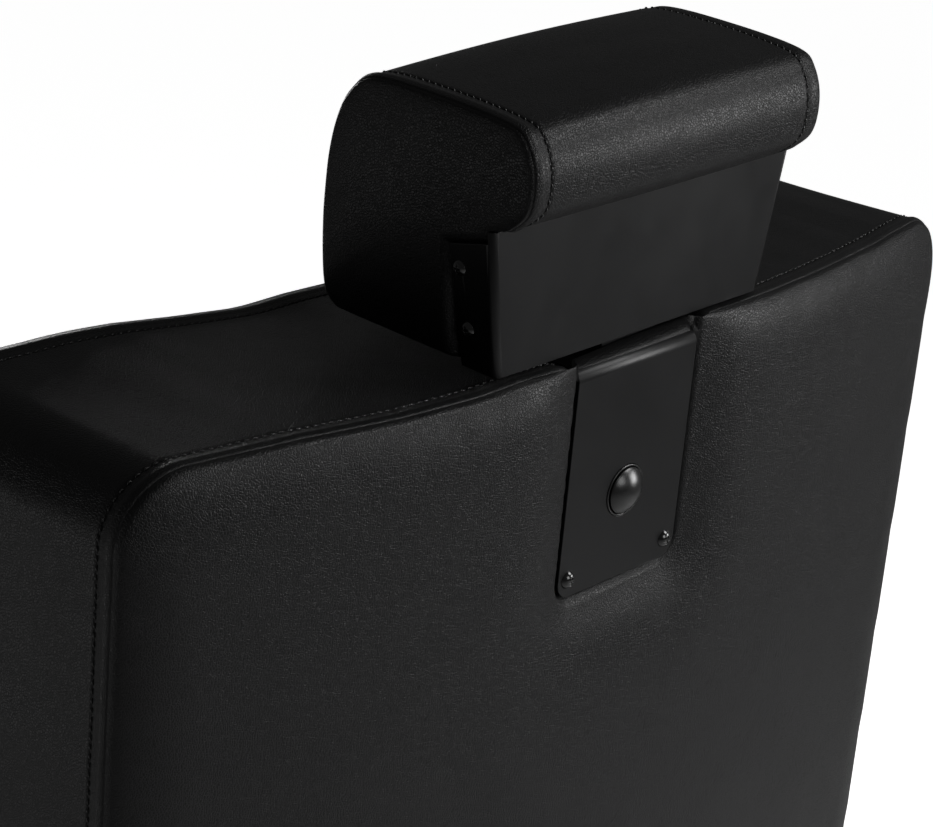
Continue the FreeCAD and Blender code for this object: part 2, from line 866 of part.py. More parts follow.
def footrest_tube():
    """The chromed tube that runs forward and down from the rails to the foot bar."""
    z = foot_start_height
    corners = [
        Vector(rail_x, -foot_start, z),
        Vector(rail_x, -foot_reach, z),
        Vector(rail_x, -foot_bar_reach, foot_bar_height),
        Vector(-rail_x, -foot_bar_reach, foot_bar_height),
        Vector(-rail_x, -foot_reach, z),
        Vector(-rail_x, -foot_start, z),
    ]
    tube = bent_bar(corners, foot_bend_radius, foot_tube_radius)
    for place in foot_bolt_places():
        start = place - Vector(0, 0, overrun)
        end = Vector(place.x, place.y, rail_top_height)
        tube = tube.cut(shank(foot_bolt_radius + bolt_gap, start, end))
    return tube


def footrest_grip():
    """The rubber sleeve on the foot bar."""
    half = foot_grip_length / 2
    bore = foot_tube_radius + bolt_gap
    sleeve = turned_loop([(bore, -half), (foot_grip_radius, -half), (foot_grip_radius, half), (bore, half)])
    return aimed(sleeve, Vector(0, -foot_bar_reach, foot_bar_height), Vector(1, 0, 0))


def footrest_bolts():
    """The bolts that hold the footrest to the rails."""
    length = foot_tube_radius * 2 + rail_height / 2 - bolt_gap
    screw = hex_bolt(foot_bolt_radius, length, foot_bolt_head_radius, foot_bolt_head_height)
    return [aimed(screw, place, Vector(0, 0, -1)) for place in foot_bolt_places()]


def frame_bolts():
    """All the bolts of the seat frame."""
    return group(seat_bolts() + arm_bolts() + footrest_bolts())


# Recline hinge

def hinge_shaft():
    """The shaft that the back turns on, through both rails."""
    half = rail_x + rail_width / 2
    start = Vector(-half, hinge_reach, hinge_height)
    return rod(hinge_shaft_radius, start, Vector(half, hinge_reach, hinge_height))


def hinge_nuts():
    """The hexagon caps on the shaft's ends."""
    start = Vector(rail_x + rail_width / 2, hinge_reach, hinge_height)
    cap = aimed(hexagon(hinge_nut_radius, 0, hinge_nut_height), start, Vector(1, 0, 0))
    return group([cap, mirrored(cap)])


def strut_rear():
    """Where the gas spring meets the back's arm at rest, as Y and Z."""
    lead = math.radians(strut_arm_lead)
    y = hinge_reach + strut_arm * math.sin(lead)
    z = hinge_height - strut_arm * math.cos(lead)
    return Vector(0, y, z)


def torque_tube():
    """The square tube that joins both bars of the back on the shaft, with the gas spring's fork."""
    x = bar_x - bar_thickness
    half = torque_tube_width / 2
    y = hinge_reach
    z = hinge_height
    tube = block(-x, x, y - half, y + half, z - half, z + half)
    tube = tube.fuse(strut_cheeks()).removeSplitter()
    end = x + overrun
    return tube.cut(rod(hinge_shaft_radius + run_gap, Vector(-end, y, z), Vector(end, y, z)))


def strut_cheeks():
    """Two cheeks welded round the torque tube that take the gas spring's rear pin."""
    rear = strut_rear()
    centre = Vector(0, hinge_reach, hinge_height)
    along = (rear - centre).normalize()
    across = Vector(0, -along.z, along.y)
    inner = strut_eye_width / 2 + slide_gap * 2
    root = torque_tube_width * 2 / 3
    cut = strut_cheek_radius / 2
    end = rear + along * strut_cheek_radius
    web = [
        centre + across * root, centre - along * root, centre - across * root,
        end - across * strut_cheek_radius - along * cut, end - across * cut,
        end + across * cut, end + across * strut_cheek_radius - along * cut,
    ]
    cheeks = []
    for side in (-1, 1):
        x0 = side * inner
        x1 = side * (inner + strut_cheek_thickness)
        cheek = slab_x([(point.y, point.z) for point in web], x0, x1)
        cheeks.append(cheek.cut(rod(
            strut_pin_radius + run_gap,
            Vector(x0 - side * overrun, rear.y, rear.z), Vector(x1 + side * overrun, rear.y, rear.z),
        )))
    return cheeks


def headed_pin(half_length, centre):
    """A cross pin with a hexagon head at each end, centred on a point."""
    way = Vector(1, 0, 0)
    pin = rod(strut_pin_radius, centre - way * half_length, centre + way * half_length)
    head = hexagon(strut_pin_head_radius, half_length, half_length + strut_pin_head_height)
    return pin.fuse([aimed(head, centre, way), aimed(head, centre, way * -1)]).removeSplitter()


def strut_rear_pin():
    """The pin through the clevis and the gas spring's eye."""
    half = strut_eye_width / 2 + slide_gap * 2 + strut_cheek_thickness
    return headed_pin(half, strut_rear())


def strut_front():
    """Where the gas spring is pinned to the seat frame."""
    return Vector(0, strut_front_reach, strut_front_height)


def strut_bracket():
    """The fork under the mounting plate that takes the gas spring's front pin."""
    front = strut_front()
    inner = head_width / 2 + slide_gap * 2
    outer = inner + strut_cheek_thickness
    half = strut_eye_radius
    low = front.z - half
    top = hub_plate_height
    fork = block(-outer, outer, front.y - half, front.y + half, top - strut_cheek_thickness, top)
    cheek = [
        (front.y - half, top), (front.y - half, front.z), (front.y - half / 2, low),
        (front.y + half / 2, low), (front.y + half, front.z), (front.y + half, top),
    ]
    for side in (-1, 1):
        fork = fork.fuse(slab_x(cheek, side * inner, side * outer))
    return fork.removeSplitter().cut(rod(
        strut_pin_radius + run_gap,
        Vector(-outer - overrun, front.y, front.z), Vector(outer + overrun, front.y, front.z),
    ))


def strut_front_pin():
    """The pin through the fork and the gas spring's release head."""
    half = head_width / 2 + slide_gap * 2 + strut_cheek_thickness
    return headed_pin(half, strut_front())


def along_strut(shape):
    """Turns a piece drawn along +Z from the front pin to lie along the gas spring."""
    return aimed(shape, strut_front(), (strut_rear() - strut_front()).normalize())


def strut_head():
    """The release head at the front of the gas spring, bored for its pin and its valve."""
    half = head_width / 2
    body = block(-half, half, -head_height / 2, head_height / 2, -head_length / 2, head_length / 2)
    body = body.cut(rod(strut_pin_radius + run_gap, Vector(-head_width, 0, 0), Vector(head_width, 0, 0)))
    start = -head_length / 2
    depth = valve_engaged + valve_travel
    body = body.cut(rod(
        valve_radius + run_gap, Vector(0, 0, start - overrun), Vector(0, 0, start + depth),
    ))
    return along_strut(body)


def valve_pin():
    """The gas spring's release pin, which the lever's finger pushes in."""
    face = -head_length / 2
    tip = Vector(0, 0, face - valve_show)
    return along_strut(rod(valve_radius, tip, Vector(0, 0, face + valve_engaged)))


def strut_rod():
    """The gas spring's polished rod."""
    start = head_length / 2
    return along_strut(rod(strut_rod_radius, Vector(0, 0, start), Vector(0, 0, start + strut_rod_length)))


def strut_length():
    """The distance between the gas spring's pins at rest."""
    return (strut_rear() - strut_front()).Length


def strut_cylinder():
    """The gas spring's barrel, bored for its rod, with a flat eye on its end bored wide of its pin."""
    length = strut_length()
    end = length - strut_eye_radius - strut_neck
    start = end - strut_cylinder_length
    half = strut_eye_width / 2
    barrel = rod(strut_cylinder_radius, Vector(0, 0, start), Vector(0, 0, end))
    side = strut_eye_radius
    cut = side / 2
    eye = slab_x([
        (-cut, end), (cut, end), (side, length - cut), (side, length + cut), (cut, length + side),
        (-cut, length + side), (-side, length + cut), (-side, length - cut),
    ], -half, half)
    body = barrel.fuse(eye).removeSplitter()
    body = body.cut(rod(
        strut_eye_hole_radius, Vector(-half - overrun, 0, length), Vector(half + overrun, 0, length),
    ))
    mouth = Vector(0, 0, start - overrun)
    bore = rod(strut_rod_radius + run_gap, mouth, Vector(0, 0, start + strut_bore_depth))
    return along_strut(body.cut(bore))


# Release lever

def lever_axis():
    """The release lever's axis at the middle of the chair."""
    return Vector(0, strut_front_reach - lever_setback, strut_front_height - lever_drop)


def lever_end_x():
    """Where the release lever's arm stands, outside the right arm's tube."""
    return -(arm_x + arm_tube_radius + lever_side_gap)


def lever_shaft():
    """The cross shaft with its outer arm and the finger that presses the gas spring's valve."""
    axis = lever_axis()
    shaft = rod(
        lever_shaft_radius,
        Vector(lever_end_x(), axis.y, axis.z), Vector(lever_finger_width, axis.y, axis.z),
    )
    direction = (strut_rear() - strut_front()).normalize()
    tip = strut_front() - direction * (head_length / 2 + valve_show)
    y1 = tip.y - lever_finger_gap
    finger = block(
        -lever_finger_width / 2, lever_finger_width / 2,
        y1 - lever_finger_thickness, y1, axis.z, tip.z + lever_finger_thickness,
    )
    return shaft.fuse([finger] + lever_arm()).removeSplitter()


def lever_arm():
    """The flat arm that runs forward from the shaft's outer end, as the pieces welded to it."""
    axis = lever_axis()
    x1 = lever_end_x()
    x0 = x1 - lever_arm_thickness
    half = lever_arm_height / 2
    bar = block(x0, x1, axis.y - lever_reach, axis.y, axis.z - half, axis.z + half)
    eye = rod(half, Vector(x0, axis.y, axis.z), Vector(x1, axis.y, axis.z))
    return [bar, eye]


def lever_grip():
    """The moulded grip on the release lever, bevelled and slotted for the lever's arm."""
    axis = lever_axis()
    start = axis.y - lever_reach - lever_grip_width / 2
    outline = []
    for length_share, size_share in grip_outline_shares:
        outline.append((start + lever_grip_length * length_share, axis.z + lever_grip_height * size_share))
    middle = lever_end_x() - lever_arm_thickness / 2
    body = slab_x(outline, middle - lever_grip_width / 2, middle + lever_grip_width / 2)
    body = body.makeChamfer(lever_grip_bevel, body.Edges)
    half = lever_arm_height / 2 + bolt_gap
    return body.cut(block(
        lever_end_x() - lever_arm_thickness - bolt_gap, lever_end_x() + bolt_gap,
        axis.y - lever_reach - bolt_gap, axis.y, axis.z - half, axis.z + half,
    ))


def lever_hangers():
    """The two hangers that the release lever's shaft turns in."""
    axis = lever_axis()
    half = hanger_radius
    outline = [
        (axis.y - half, hub_plate_height), (axis.y - half, axis.z), (axis.y - half / 2, axis.z - half),
        (axis.y + half / 2, axis.z - half), (axis.y + half, axis.z), (axis.y + half, hub_plate_height),
    ]
    hangers = []
    for x in (-rail_x, -hanger_inner_x):
        x0 = x - hanger_thickness / 2
        x1 = x + hanger_thickness / 2
        hangers.append(slab_x(outline, x0, x1).cut(rod(
            lever_shaft_radius + run_gap,
            Vector(x0 - overrun, axis.y, axis.z), Vector(x1 + overrun, axis.y, axis.z),
        )))
    return group(hangers)


# Back, in its own frame

def plan_y(x):
    """How far forward the back's rear seam lies at a distance from the middle."""
    return -back_plan_sagitta * (2 * x / back_width) ** 2


def plan_radius():
    """The radius of the back's curve seen from above."""
    half = back_width / 2
    return (half * half + back_plan_sagitta * back_plan_sagitta) / (2 * back_plan_sagitta)


def roll_arc(y_seam, z_seam, depth, width, upward):
    """The padding's round from a seam to where its panel runs level: its middle and its end."""
    radius = (width * width + depth * depth) / (2 * abs(depth))
    half = width / 2
    fall = math.copysign(radius - math.sqrt(radius * radius - half * half), depth)
    z_end = z_seam + upward * width
    return (y_seam + depth - fall, z_end - upward * half), (y_seam + depth, z_end)


def cushion_section(x, sizes):
    """One upright slice of a boxed cushion whose length runs down from Z = 0 and faces -Y."""
    half = sizes["half"]
    round_share = max(0, abs(x) - (half - sizes["corner"])) / sizes["corner"]
    drop = sizes["corner"] * (1 - math.sqrt(max(0, 1 - round_share ** 2)))
    roll_share = max(0, abs(x) - (half - sizes["roll"])) / sizes["roll"]
    crown_share = max(crown_end_share, math.sqrt(max(0, 1 - roll_share ** 2)))
    y_rear = -sizes["sagitta"] * (x / half) ** 2
    y_front = y_rear - sizes["thickness"]
    y_box = (y_rear + y_front) / 2
    z_top = -drop
    z_bottom = drop - sizes["length"]
    sink = sizes["drawn_in"] * crown_share

    def at(y, z):
        return Vector(x, y, z)

    def panel(y, crown, z0, z1):
        """The edges of a crowned panel, or a straight edge where it has no crown."""
        if not crown:
            return [line(at(y, z0), at(y, z1))]
        way = math.copysign(1, z1 - z0)
        depth = crown * crown_share
        first, first_end = roll_arc(y, z0, depth * crown_roll_share, sizes["roll"], way)
        last, last_end = roll_arc(y, z1, depth * crown_roll_share, sizes["roll"], -way)
        return [
            arc(at(y, z0), at(*first), at(*first_end)),
            arc(at(*first_end), at(y + depth, (z0 + z1) / 2), at(*last_end)),
            arc(at(*last_end), at(*last), at(y, z1)),
        ]

    edges = [arc(at(y_rear, z_top), at(y_box, z_top - sink), at(y_front, z_top))]
    edges += panel(y_front, -sizes["front"], z_top, z_bottom)
    edges += [arc(at(y_front, z_bottom), at(y_box, z_bottom + sink), at(y_rear, z_bottom))]
    edges += panel(y_rear, sizes["rear"], z_bottom, z_top)
    return Part.Wire(edges)


def cushion(sizes):
    """A boxed cushion with crowned panels, drawn in boxing and round corners."""
    flat = sizes["half"] - sizes["corner"]
    stations = [flat * share for share in cushion_station_shares]
    for degrees in cushion_corner_degrees:
        stations.append(flat + sizes["corner"] * math.sin(math.radians(degrees)))
    xs = [-x for x in reversed(stations)] + stations
    return Part.makeLoft([cushion_section(x, sizes) for x in xs], True, True)


def board_arc(inset, z0, z1, y_rear, y_front, half):
    """A level curved board that follows the back's plan, between two depths and two heights."""
    centre = Vector(0, -plan_radius(), z0)
    faces = []
    for depth in (y_rear, y_front):
        radius = plan_radius() + depth
        turn = math.asin((half - inset) / radius)
        left = centre + Vector(-radius * math.sin(turn), radius * math.cos(turn), 0)
        right = centre + Vector(radius * math.sin(turn), radius * math.cos(turn), 0)
        faces.append((left, centre + Vector(0, radius, 0), right))
    rear, front = faces
    outline = Part.Wire([
        arc(rear[0], rear[1], rear[2]),
        line(rear[2], front[2]),
        arc(front[2], front[1], front[0]),
        line(front[0], rear[0]),
    ])
    return Part.Face(outline).extrude(Vector(0, 0, z1 - z0))


def board_blank(gap):
    """The back board's outer shape, grown by a gap."""
    z0 = back_seam_rise - back_length + board_inset - gap
    z1 = -board_top_inset + gap
    return board_arc(
        board_inset - gap, z0, z1, -board_cover + gap, -board_cover - board_thickness - gap, back_width / 2,
    )


def post_room(gap):
    """The space that the sleeve, the post and the latch need inside the back."""
    z0 = -post_bottom - gap
    deep = post_back + latch_gap + latch_depth + button_travel + latch_height / 2
    half = sleeve_half_width + gap
    room = block(-half, half, -sleeve_front - gap, -plate_thickness, z0, overrun * 2)
    latch_half = latch_height / 2 + gap * 2
    latch_room = block(
        -latch_width / 2 - gap * 2, latch_width / 2 + gap * 2, -deep - gap, -sleeve_rear,
        -button_drop - latch_half, -button_drop + latch_half,
    )
    return room.fuse(latch_room)


def board_bolt_places():
    """Where the hinge bars are bolted to the back board."""
    places = []
    for side in (-1, 1):
        x = side * (bar_x - bar_flange_width / 2)
        y = plan_y(x) - board_cover
        for step in range(2):
            places.append(Vector(x, y, -bar_top_drop - board_bolt_inset - board_bolt_span * step))
    return places


def back_board():
    """The moulded plywood board, notched for the guide sleeve."""
    solid = board_blank(0)
    solid = solid.cut(post_room(slide_gap))
    for place in plate_screw_places():
        start = Vector(place.x, 0, place.z)
        end = Vector(place.x, -plate_screw_length - bolt_gap, place.z)
        solid = solid.cut(shank(plate_screw_radius + bolt_gap, start, end))
    for place in board_bolt_places():
        start = place + Vector(0, overrun, 0)
        end = place - Vector(0, board_thickness + overrun, 0)
        solid = solid.cut(shank(board_bolt_radius + bolt_gap, start, end))
    return solid


def bar_outline(grow):
    """The side view of a hinge bar's leg, as Y and Z, grown all round."""
    rear = -board_cover - board_thickness
    slack = abs(plan_y(bar_x)) * 3 / 2
    depth = rear - bar_leg_depth - slack
    eye_y = -back_hinge_depth
    return [
        (rear - slack / 2 + grow, -bar_top_drop + grow),
        (depth - grow, -bar_top_drop + grow),
        (depth - grow, -bar_shoulder_drop),
        (eye_y - bar_eye_radius - grow, -back_hinge_drop + bar_eye_radius * 2),
        (eye_y - bar_eye_radius - grow, -back_hinge_drop),
        (eye_y + bar_eye_radius + grow, -back_hinge_drop),
        (eye_y + bar_eye_radius + grow, -back_hinge_drop + bar_eye_radius * 3 / 2),
        (rear - slack / 2 + grow, -bar_shoulder_drop),
    ]


def hinge_bar():
    """The left bar of the back: an angle whose leg runs down to the hinge."""
    x1 = bar_x
    x0 = bar_x - bar_thickness
    leg = slab_x(bar_outline(0), x0, x1)
    centre = Vector(x0, -back_hinge_depth, -back_hinge_drop)
    eye = rod(bar_eye_radius, centre, centre + Vector(bar_thickness, 0, 0))
    front = -board_cover - board_thickness
    inner = bar_x - bar_flange_width
    corners = [
        Vector(inner, front + plan_y(inner), -bar_shoulder_drop),
        Vector(x1, front + plan_y(x1), -bar_shoulder_drop),
        Vector(x1, front + plan_y(x1) - bar_thickness, -bar_shoulder_drop),
        Vector(inner, front + plan_y(inner) - bar_thickness, -bar_shoulder_drop),
    ]
    flange = Part.Face(loop(corners)).extrude(Vector(0, 0, bar_shoulder_drop - bar_top_drop))
    bar = leg.fuse([eye, flange]).removeSplitter()
    bar = bar.cut(board_blank(0))
    bar = bar.cut(rod(
        hinge_shaft_radius + run_gap,
        Vector(x0 - overrun, -back_hinge_depth, -back_hinge_drop),
        Vector(x1 + overrun, -back_hinge_depth, -back_hinge_drop),
    ))
    for place in board_bolt_places():
        start = place
        end = place - Vector(0, board_thickness + bar_thickness + overrun, 0)
        bar = bar.cut(shank(board_bolt_radius + bolt_gap, start, end))
    return bar


def board_bolts():
    """The sunk bolts through the back board and the hinge bars."""
    length = board_thickness + bar_thickness
    pieces = []
    for place in board_bolt_places():
        start = place - Vector(0, soft_gap, 0)
        pieces.append(shank(board_bolt_radius, start, start - Vector(0, length, 0)))
    return group(pieces)


def back_cushion():
    """The boxed back cushion, open inside for the board, the bars and the headrest's sleeve."""
    body = cushion({
        "half": back_width / 2, "corner": back_corner_radius, "roll": back_roll, "length": back_length,
        "thickness": back_thickness, "front": back_front_crown, "rear": back_rear_crown,
        "drawn_in": back_drawn_in, "sagitta": back_plan_sagitta,
    })
    body.translate(Vector(0, 0, back_seam_rise))
    body = body.cut(board_blank(soft_gap))
    x0 = bar_x - bar_flange_width - soft_gap
    x1 = bar_x + soft_gap
    eye_half = bar_eye_radius + soft_gap
    eye_room = slab_x([
        (-back_hinge_depth - eye_half, -back_hinge_drop - overrun),
        (-back_hinge_depth + eye_half, -back_hinge_drop - overrun),
        (-back_hinge_depth + eye_half, -back_hinge_drop + overrun),
        (-back_hinge_depth - eye_half, -back_hinge_drop + overrun),
    ], x0, x1)
    room = slab_x(bar_outline(soft_gap), x0, x1).fuse(eye_room)
    body = body.cut(room).cut(mirrored(room)).cut(post_room(soft_gap))
    half = plate_width / 2 + soft_gap
    high = back_seam_rise + overrun
    rear = back_rear_crown * 2
    body = body.cut(block(-half, half, -plate_thickness - soft_gap, rear, -plate_drop - soft_gap, high))
    body = body.cut(block(-half, half, -plate_flange - soft_gap, rear, -plate_thickness - soft_gap, high))
    inside = -plate_thickness - soft_gap
    body = body.cut(slab_x([
        (inside, inside), (inside - plate_bend_radius, inside), (inside, inside - plate_bend_radius),
    ], -half, half))
    for place in plate_screw_places():
        start = Vector(place.x, overrun, place.z)
        end = Vector(place.x, -board_cover - overrun, place.z)
        body = body.cut(shank(plate_screw_radius + soft_gap, start, end))
    return body


# Headrest lock, in the back's frame

def plate_screw_places():
    """The two screws at the lock plate's lower corners."""
    x = plate_width / 2 - plate_screw_inset
    z = -plate_drop + plate_screw_rise
    return [Vector(-x, 0, z), Vector(x, 0, z)]


def lock_plate():
    """The bent steel plate over the back's top edge."""
    outer = plate_bend_radius + plate_thickness
    half = plate_width / 2
    corners = [
        Vector(-half, 0, -plate_drop), Vector(-half, 0, 0), Vector(-half, -plate_flange, 0),
    ]
    inner_corners = [
        Vector(-half, -plate_thickness, -plate_drop),
        Vector(-half, -plate_thickness, -plate_thickness),
        Vector(-half, -plate_flange, -plate_thickness),
    ]
    skin = bent_path(corners, outer)
    lining = bent_path(inner_corners, plate_bend_radius)
    ends = [line(corners[0], inner_corners[0]), line(corners[2], inner_corners[2])]
    outline = Part.Wire(Part.__sortEdges__(skin.Edges + lining.Edges + ends))
    solid = Part.Face(outline).extrude(Vector(plate_width, 0, 0))
    low = [
        e for e in solid.Edges
        if abs(e.BoundBox.ZMax + plate_drop) < run_gap and e.BoundBox.XLength < run_gap
    ]
    solid = solid.makeFillet(plate_corner_radius, low)
    solid = solid.cut(rod(
        collar_radius + bolt_gap, Vector(0, overrun, -button_drop), Vector(0, -sleeve_rear, -button_drop),
    ))
    solid = solid.cut(block(
        -post_width / 2 - slide_gap, post_width / 2 + slide_gap,
        -post_back - slide_gap, -post_front + slide_gap, -plate_thickness - overrun, overrun,
    ))
    for place in plate_screw_places():
        start = place + Vector(0, overrun, 0)
        end = place - Vector(0, plate_thickness + overrun, 0)
        solid = solid.cut(shank(plate_screw_radius + bolt_gap, start, end))
    return solid


def plate_screws():
    """The lock plate's two screws."""
    screw = dome_screw(
        plate_screw_radius, plate_screw_length, plate_screw_head_radius, plate_screw_head_height,
    )
    return group([aimed(screw, place, Vector(0, 1, 0)) for place in plate_screw_places()])


def guide_sleeve():
    """The flat steel sleeve under the plate's flange that the post slides in."""
    z1 = -plate_thickness
    z0 = z1 - sleeve_length
    half = post_width / 2 + slide_gap
    sleeve = block(-sleeve_half_width, sleeve_half_width, -sleeve_front, -sleeve_rear, z0, z1)
    sleeve = sleeve.cut(block(
        -half, half, -post_back - slide_gap, -post_front + slide_gap, z0 - overrun, z1 + overrun,
    ))
    sleeve = sleeve.cut(rod(
        button_stem_radius + slide_gap, Vector(0, 0, -button_drop), Vector(0, -post_back, -button_drop),
    ))
    latch_half = latch_height / 2 + slide_gap
    window = block(
        -latch_width / 2 - slide_gap, latch_width / 2 + slide_gap, -sleeve_front - overrun, -post_back,
        -button_drop - latch_half, -button_drop + latch_half,
    )
    return sleeve.cut(window)


def button_collar():
    """The round collar in the lock plate that the button moves in."""
    bore = button_radius + collar_bore_gap
    ring = turned_loop([
        (bore, -plate_thickness), (collar_radius, -plate_thickness),
        (collar_radius, collar_height), (bore, collar_height),
    ])
    return aimed(ring, Vector(0, 0, -button_drop), Vector(0, 1, 0))


def release_button():
    """The domed push button, its stem and the latch bar that holds the post's notches."""
    side = button_show - button_dome
    low = collar_height - button_skirt
    cap = turned_loop([(0, low), (button_radius, low)] + dome(button_radius, side, button_dome))
    tip = -post_back - latch_gap
    stem = rod(button_stem_radius, Vector(0, 0, low), Vector(0, 0, tip))
    half = latch_width / 2
    latch = block(-half, half, -latch_height / 2, latch_height / 2, tip - latch_depth, tip)
    return aimed(cap.fuse([stem, latch]).removeSplitter(), Vector(0, 0, -button_drop), Vector(0, 1, 0))


def button_spring():
    """The room of the spring that pushes the button out, drawn with eight flats."""
    start = Vector(0, -sleeve_rear, -button_drop)
    end = Vector(0, collar_height - button_skirt, -button_drop)
    return shank(spring_radius, start, end).cut(shank(spring_radius - spring_wire, start, end))


# Headrest, in the back's frame

def headrest_post():
    """The flat post with the slot for the button's stem and the notches for its latch."""
    half = post_width / 2
    post = block(-half, half, -post_back, -post_front, -post_bottom, post_top)
    slot_half = button_stem_radius + slide_gap
    low = -button_drop - post_travel - slot_half
    high = -button_drop + slot_half
    slot = block(-slot_half, slot_half, -post_back - overrun, -post_front + overrun, low, high)
    post = post.cut(slot)
    count = int(post_travel / post_notch_pitch) + 1
    for step in range(count):
        z = -button_drop - post_notch_pitch * step
        notch = block(
            -half - overrun, half + overrun, -post_back - overrun, -post_back + post_notch_depth,
            z - post_notch_height / 2, z + post_notch_height / 2,
        )
        post = post.cut(notch)
    return post


def bracket_half_width(z):
    """Half the bracket's width at a height: it spreads towards its top."""
    rise = (z - bracket_bottom) / (bracket_top - bracket_bottom)
    return (bracket_bottom_width + (bracket_top_width - bracket_bottom_width) * rise) / 2


def bracket_taper(inset, y0, y1):
    """The bracket's tapered outline between two depths, set in at both sides."""
    low = bracket_half_width(bracket_bottom) - inset
    high = bracket_half_width(bracket_top) - inset
    return slab_y([
        (-low, bracket_bottom), (low, bracket_bottom), (high, bracket_top), (-high, bracket_top),
    ], y0, y1)


def bracket_screw_places():
    """The two screws in each flange, on its outer face, with the way they point out."""
    slope = bracket_half_width(bracket_top) - bracket_half_width(bracket_bottom)
    rise = bracket_top - bracket_bottom
    places = []
    for side in (-1, 1):
        outward = Vector(side * rise, 0, -slope).normalize()
        for y, z in bracket_screw_points:
            places.append((Vector(side * bracket_half_width(z), y, z), outward))
    return places


def headrest_bracket():
    """The folded bracket that holds the pad between its two flanges."""
    rear = -bracket_setback
    front = rear - bracket_flange
    body = bracket_taper(0, front, rear)
    corners = [
        e for e in body.Edges
        if abs(e.BoundBox.YMin - rear) < run_gap and e.BoundBox.YLength < run_gap * 2
        and e.BoundBox.ZLength > bracket_top / 2 and e.BoundBox.XLength < bracket_top
    ]
    body = body.makeFillet(bracket_bend_radius, corners)
    hollow = bracket_taper(bracket_thickness, front - overrun, rear - bracket_thickness)
    body = body.cut(hollow)
    far = bracket_top_width
    slope = slab_x([
        (rear - bracket_thickness, bracket_flange_rear_height),
        (front - overrun, bracket_flange_front_height),
        (front - overrun, bracket_top + overrun),
        (rear - bracket_thickness, bracket_top + overrun),
    ], -far, far)
    body = body.cut(slope)
    low = rear - bracket_flange_low
    body = body.cut(slab_x([
        (front, bracket_flange_front_height), (low, bracket_bottom), (low, bracket_bottom - overrun),
        (front - overrun, bracket_bottom - overrun), (front - overrun, bracket_flange_front_height),
    ], -far, far))
    for place, outward in bracket_screw_places():
        start = place + outward * overrun
        end = place - outward * (bracket_thickness + overrun)
        body = body.cut(shank(bracket_screw_radius + bolt_gap, start, end))
    return body


def bracket_screws():
    """The four screws through the bracket's flanges into the pad's board."""
    screw = dome_screw(
        bracket_screw_radius, bracket_screw_length, bracket_screw_head_radius, bracket_screw_head_height,
    )
    return group([aimed(screw, place, outward) for place, outward in bracket_screw_places()])


def pad_board(gap):
    """The headrest's wooden core between the bracket's flanges, grown by a gap."""
    inset = bracket_thickness + bolt_gap - gap
    low = bracket_half_width(pad_board_bottom) - inset
    high = bracket_half_width(pad_board_top) - inset
    z0 = pad_board_bottom - gap
    z1 = pad_board_top + gap
    rear = -post_back - soft_gap
    front = rear - pad_board_thickness
    return slab_y([(-low, z0), (low, z0), (high, z1), (-high, z1)], front - gap, rear + gap)


def headrest_board():
    """The wooden core, drilled for the bracket's screws."""
    solid = pad_board(0)
    for place, outward in bracket_screw_places():
        end = place - outward * (bracket_screw_length + bolt_gap)
        solid = solid.cut(shank(bracket_screw_radius + bolt_gap, place, end))
    return solid


def pad_profile(x):
    """The headrest pad's side view."""
    points = []
    for depth_share, height_share in pad_outline_shares:
        y = pad_overhang - depth_share * pad_depth
        points.append(Vector(x, y, pad_bottom + height_share * (pad_top - pad_bottom)))
    step_y = -post_front - soft_gap
    step_top = Vector(x, step_y, bracket_top + soft_gap)
    step_low = Vector(x, step_y, points[0].z)
    edges = [line(step_low, points[0])]
    for start, middle, end in zip(points[0::2], points[1::2], points[2::2]):
        edges.append(arc(start, middle, end))
    edges += [line(points[-1], step_top), line(step_top, step_low)]
    return Part.Wire(edges)


def headrest_pad():
    """The crowned headrest pad, shaped to sit in its bracket."""
    reach = pad_width / 2 + overrun
    body = Part.Face(pad_profile(-reach)).extrude(Vector(reach * 2, 0, 0))
    low = pad_bottom_width / 2
    high = pad_width / 2
    z0 = pad_bottom - overrun
    z1 = pad_top + overrun
    bulge = (low + high) / 2 + pad_end_crown
    deep = pad_depth * 2
    middle = (z0 + z1) / 2
    outline = Part.Wire([
        line(Vector(-low, -deep, z0), Vector(low, -deep, z0)),
        arc(Vector(low, -deep, z0), Vector(bulge, -deep, middle), Vector(high, -deep, z1)),
        line(Vector(high, -deep, z1), Vector(-high, -deep, z1)),
        arc(Vector(-high, -deep, z1), Vector(-bulge, -deep, middle), Vector(-low, -deep, z0)),
    ])
    body = body.common(Part.Face(outline).extrude(Vector(0, deep * 2, 0)))
    rear = -bracket_setback
    front = rear - bracket_flange - soft_gap
    outside = bracket_taper(-bracket_thickness * 4, front, rear)
    inside = bracket_taper(bracket_thickness + soft_gap, front, rear)
    body = body.cut(outside.cut(inside))
    half = post_width / 2 + soft_gap
    body = body.cut(block(
        -half, half, -post_back - soft_gap, overrun, pad_bottom - overrun, post_top + soft_gap,
    ))
    return body.cut(pad_board(soft_gap))


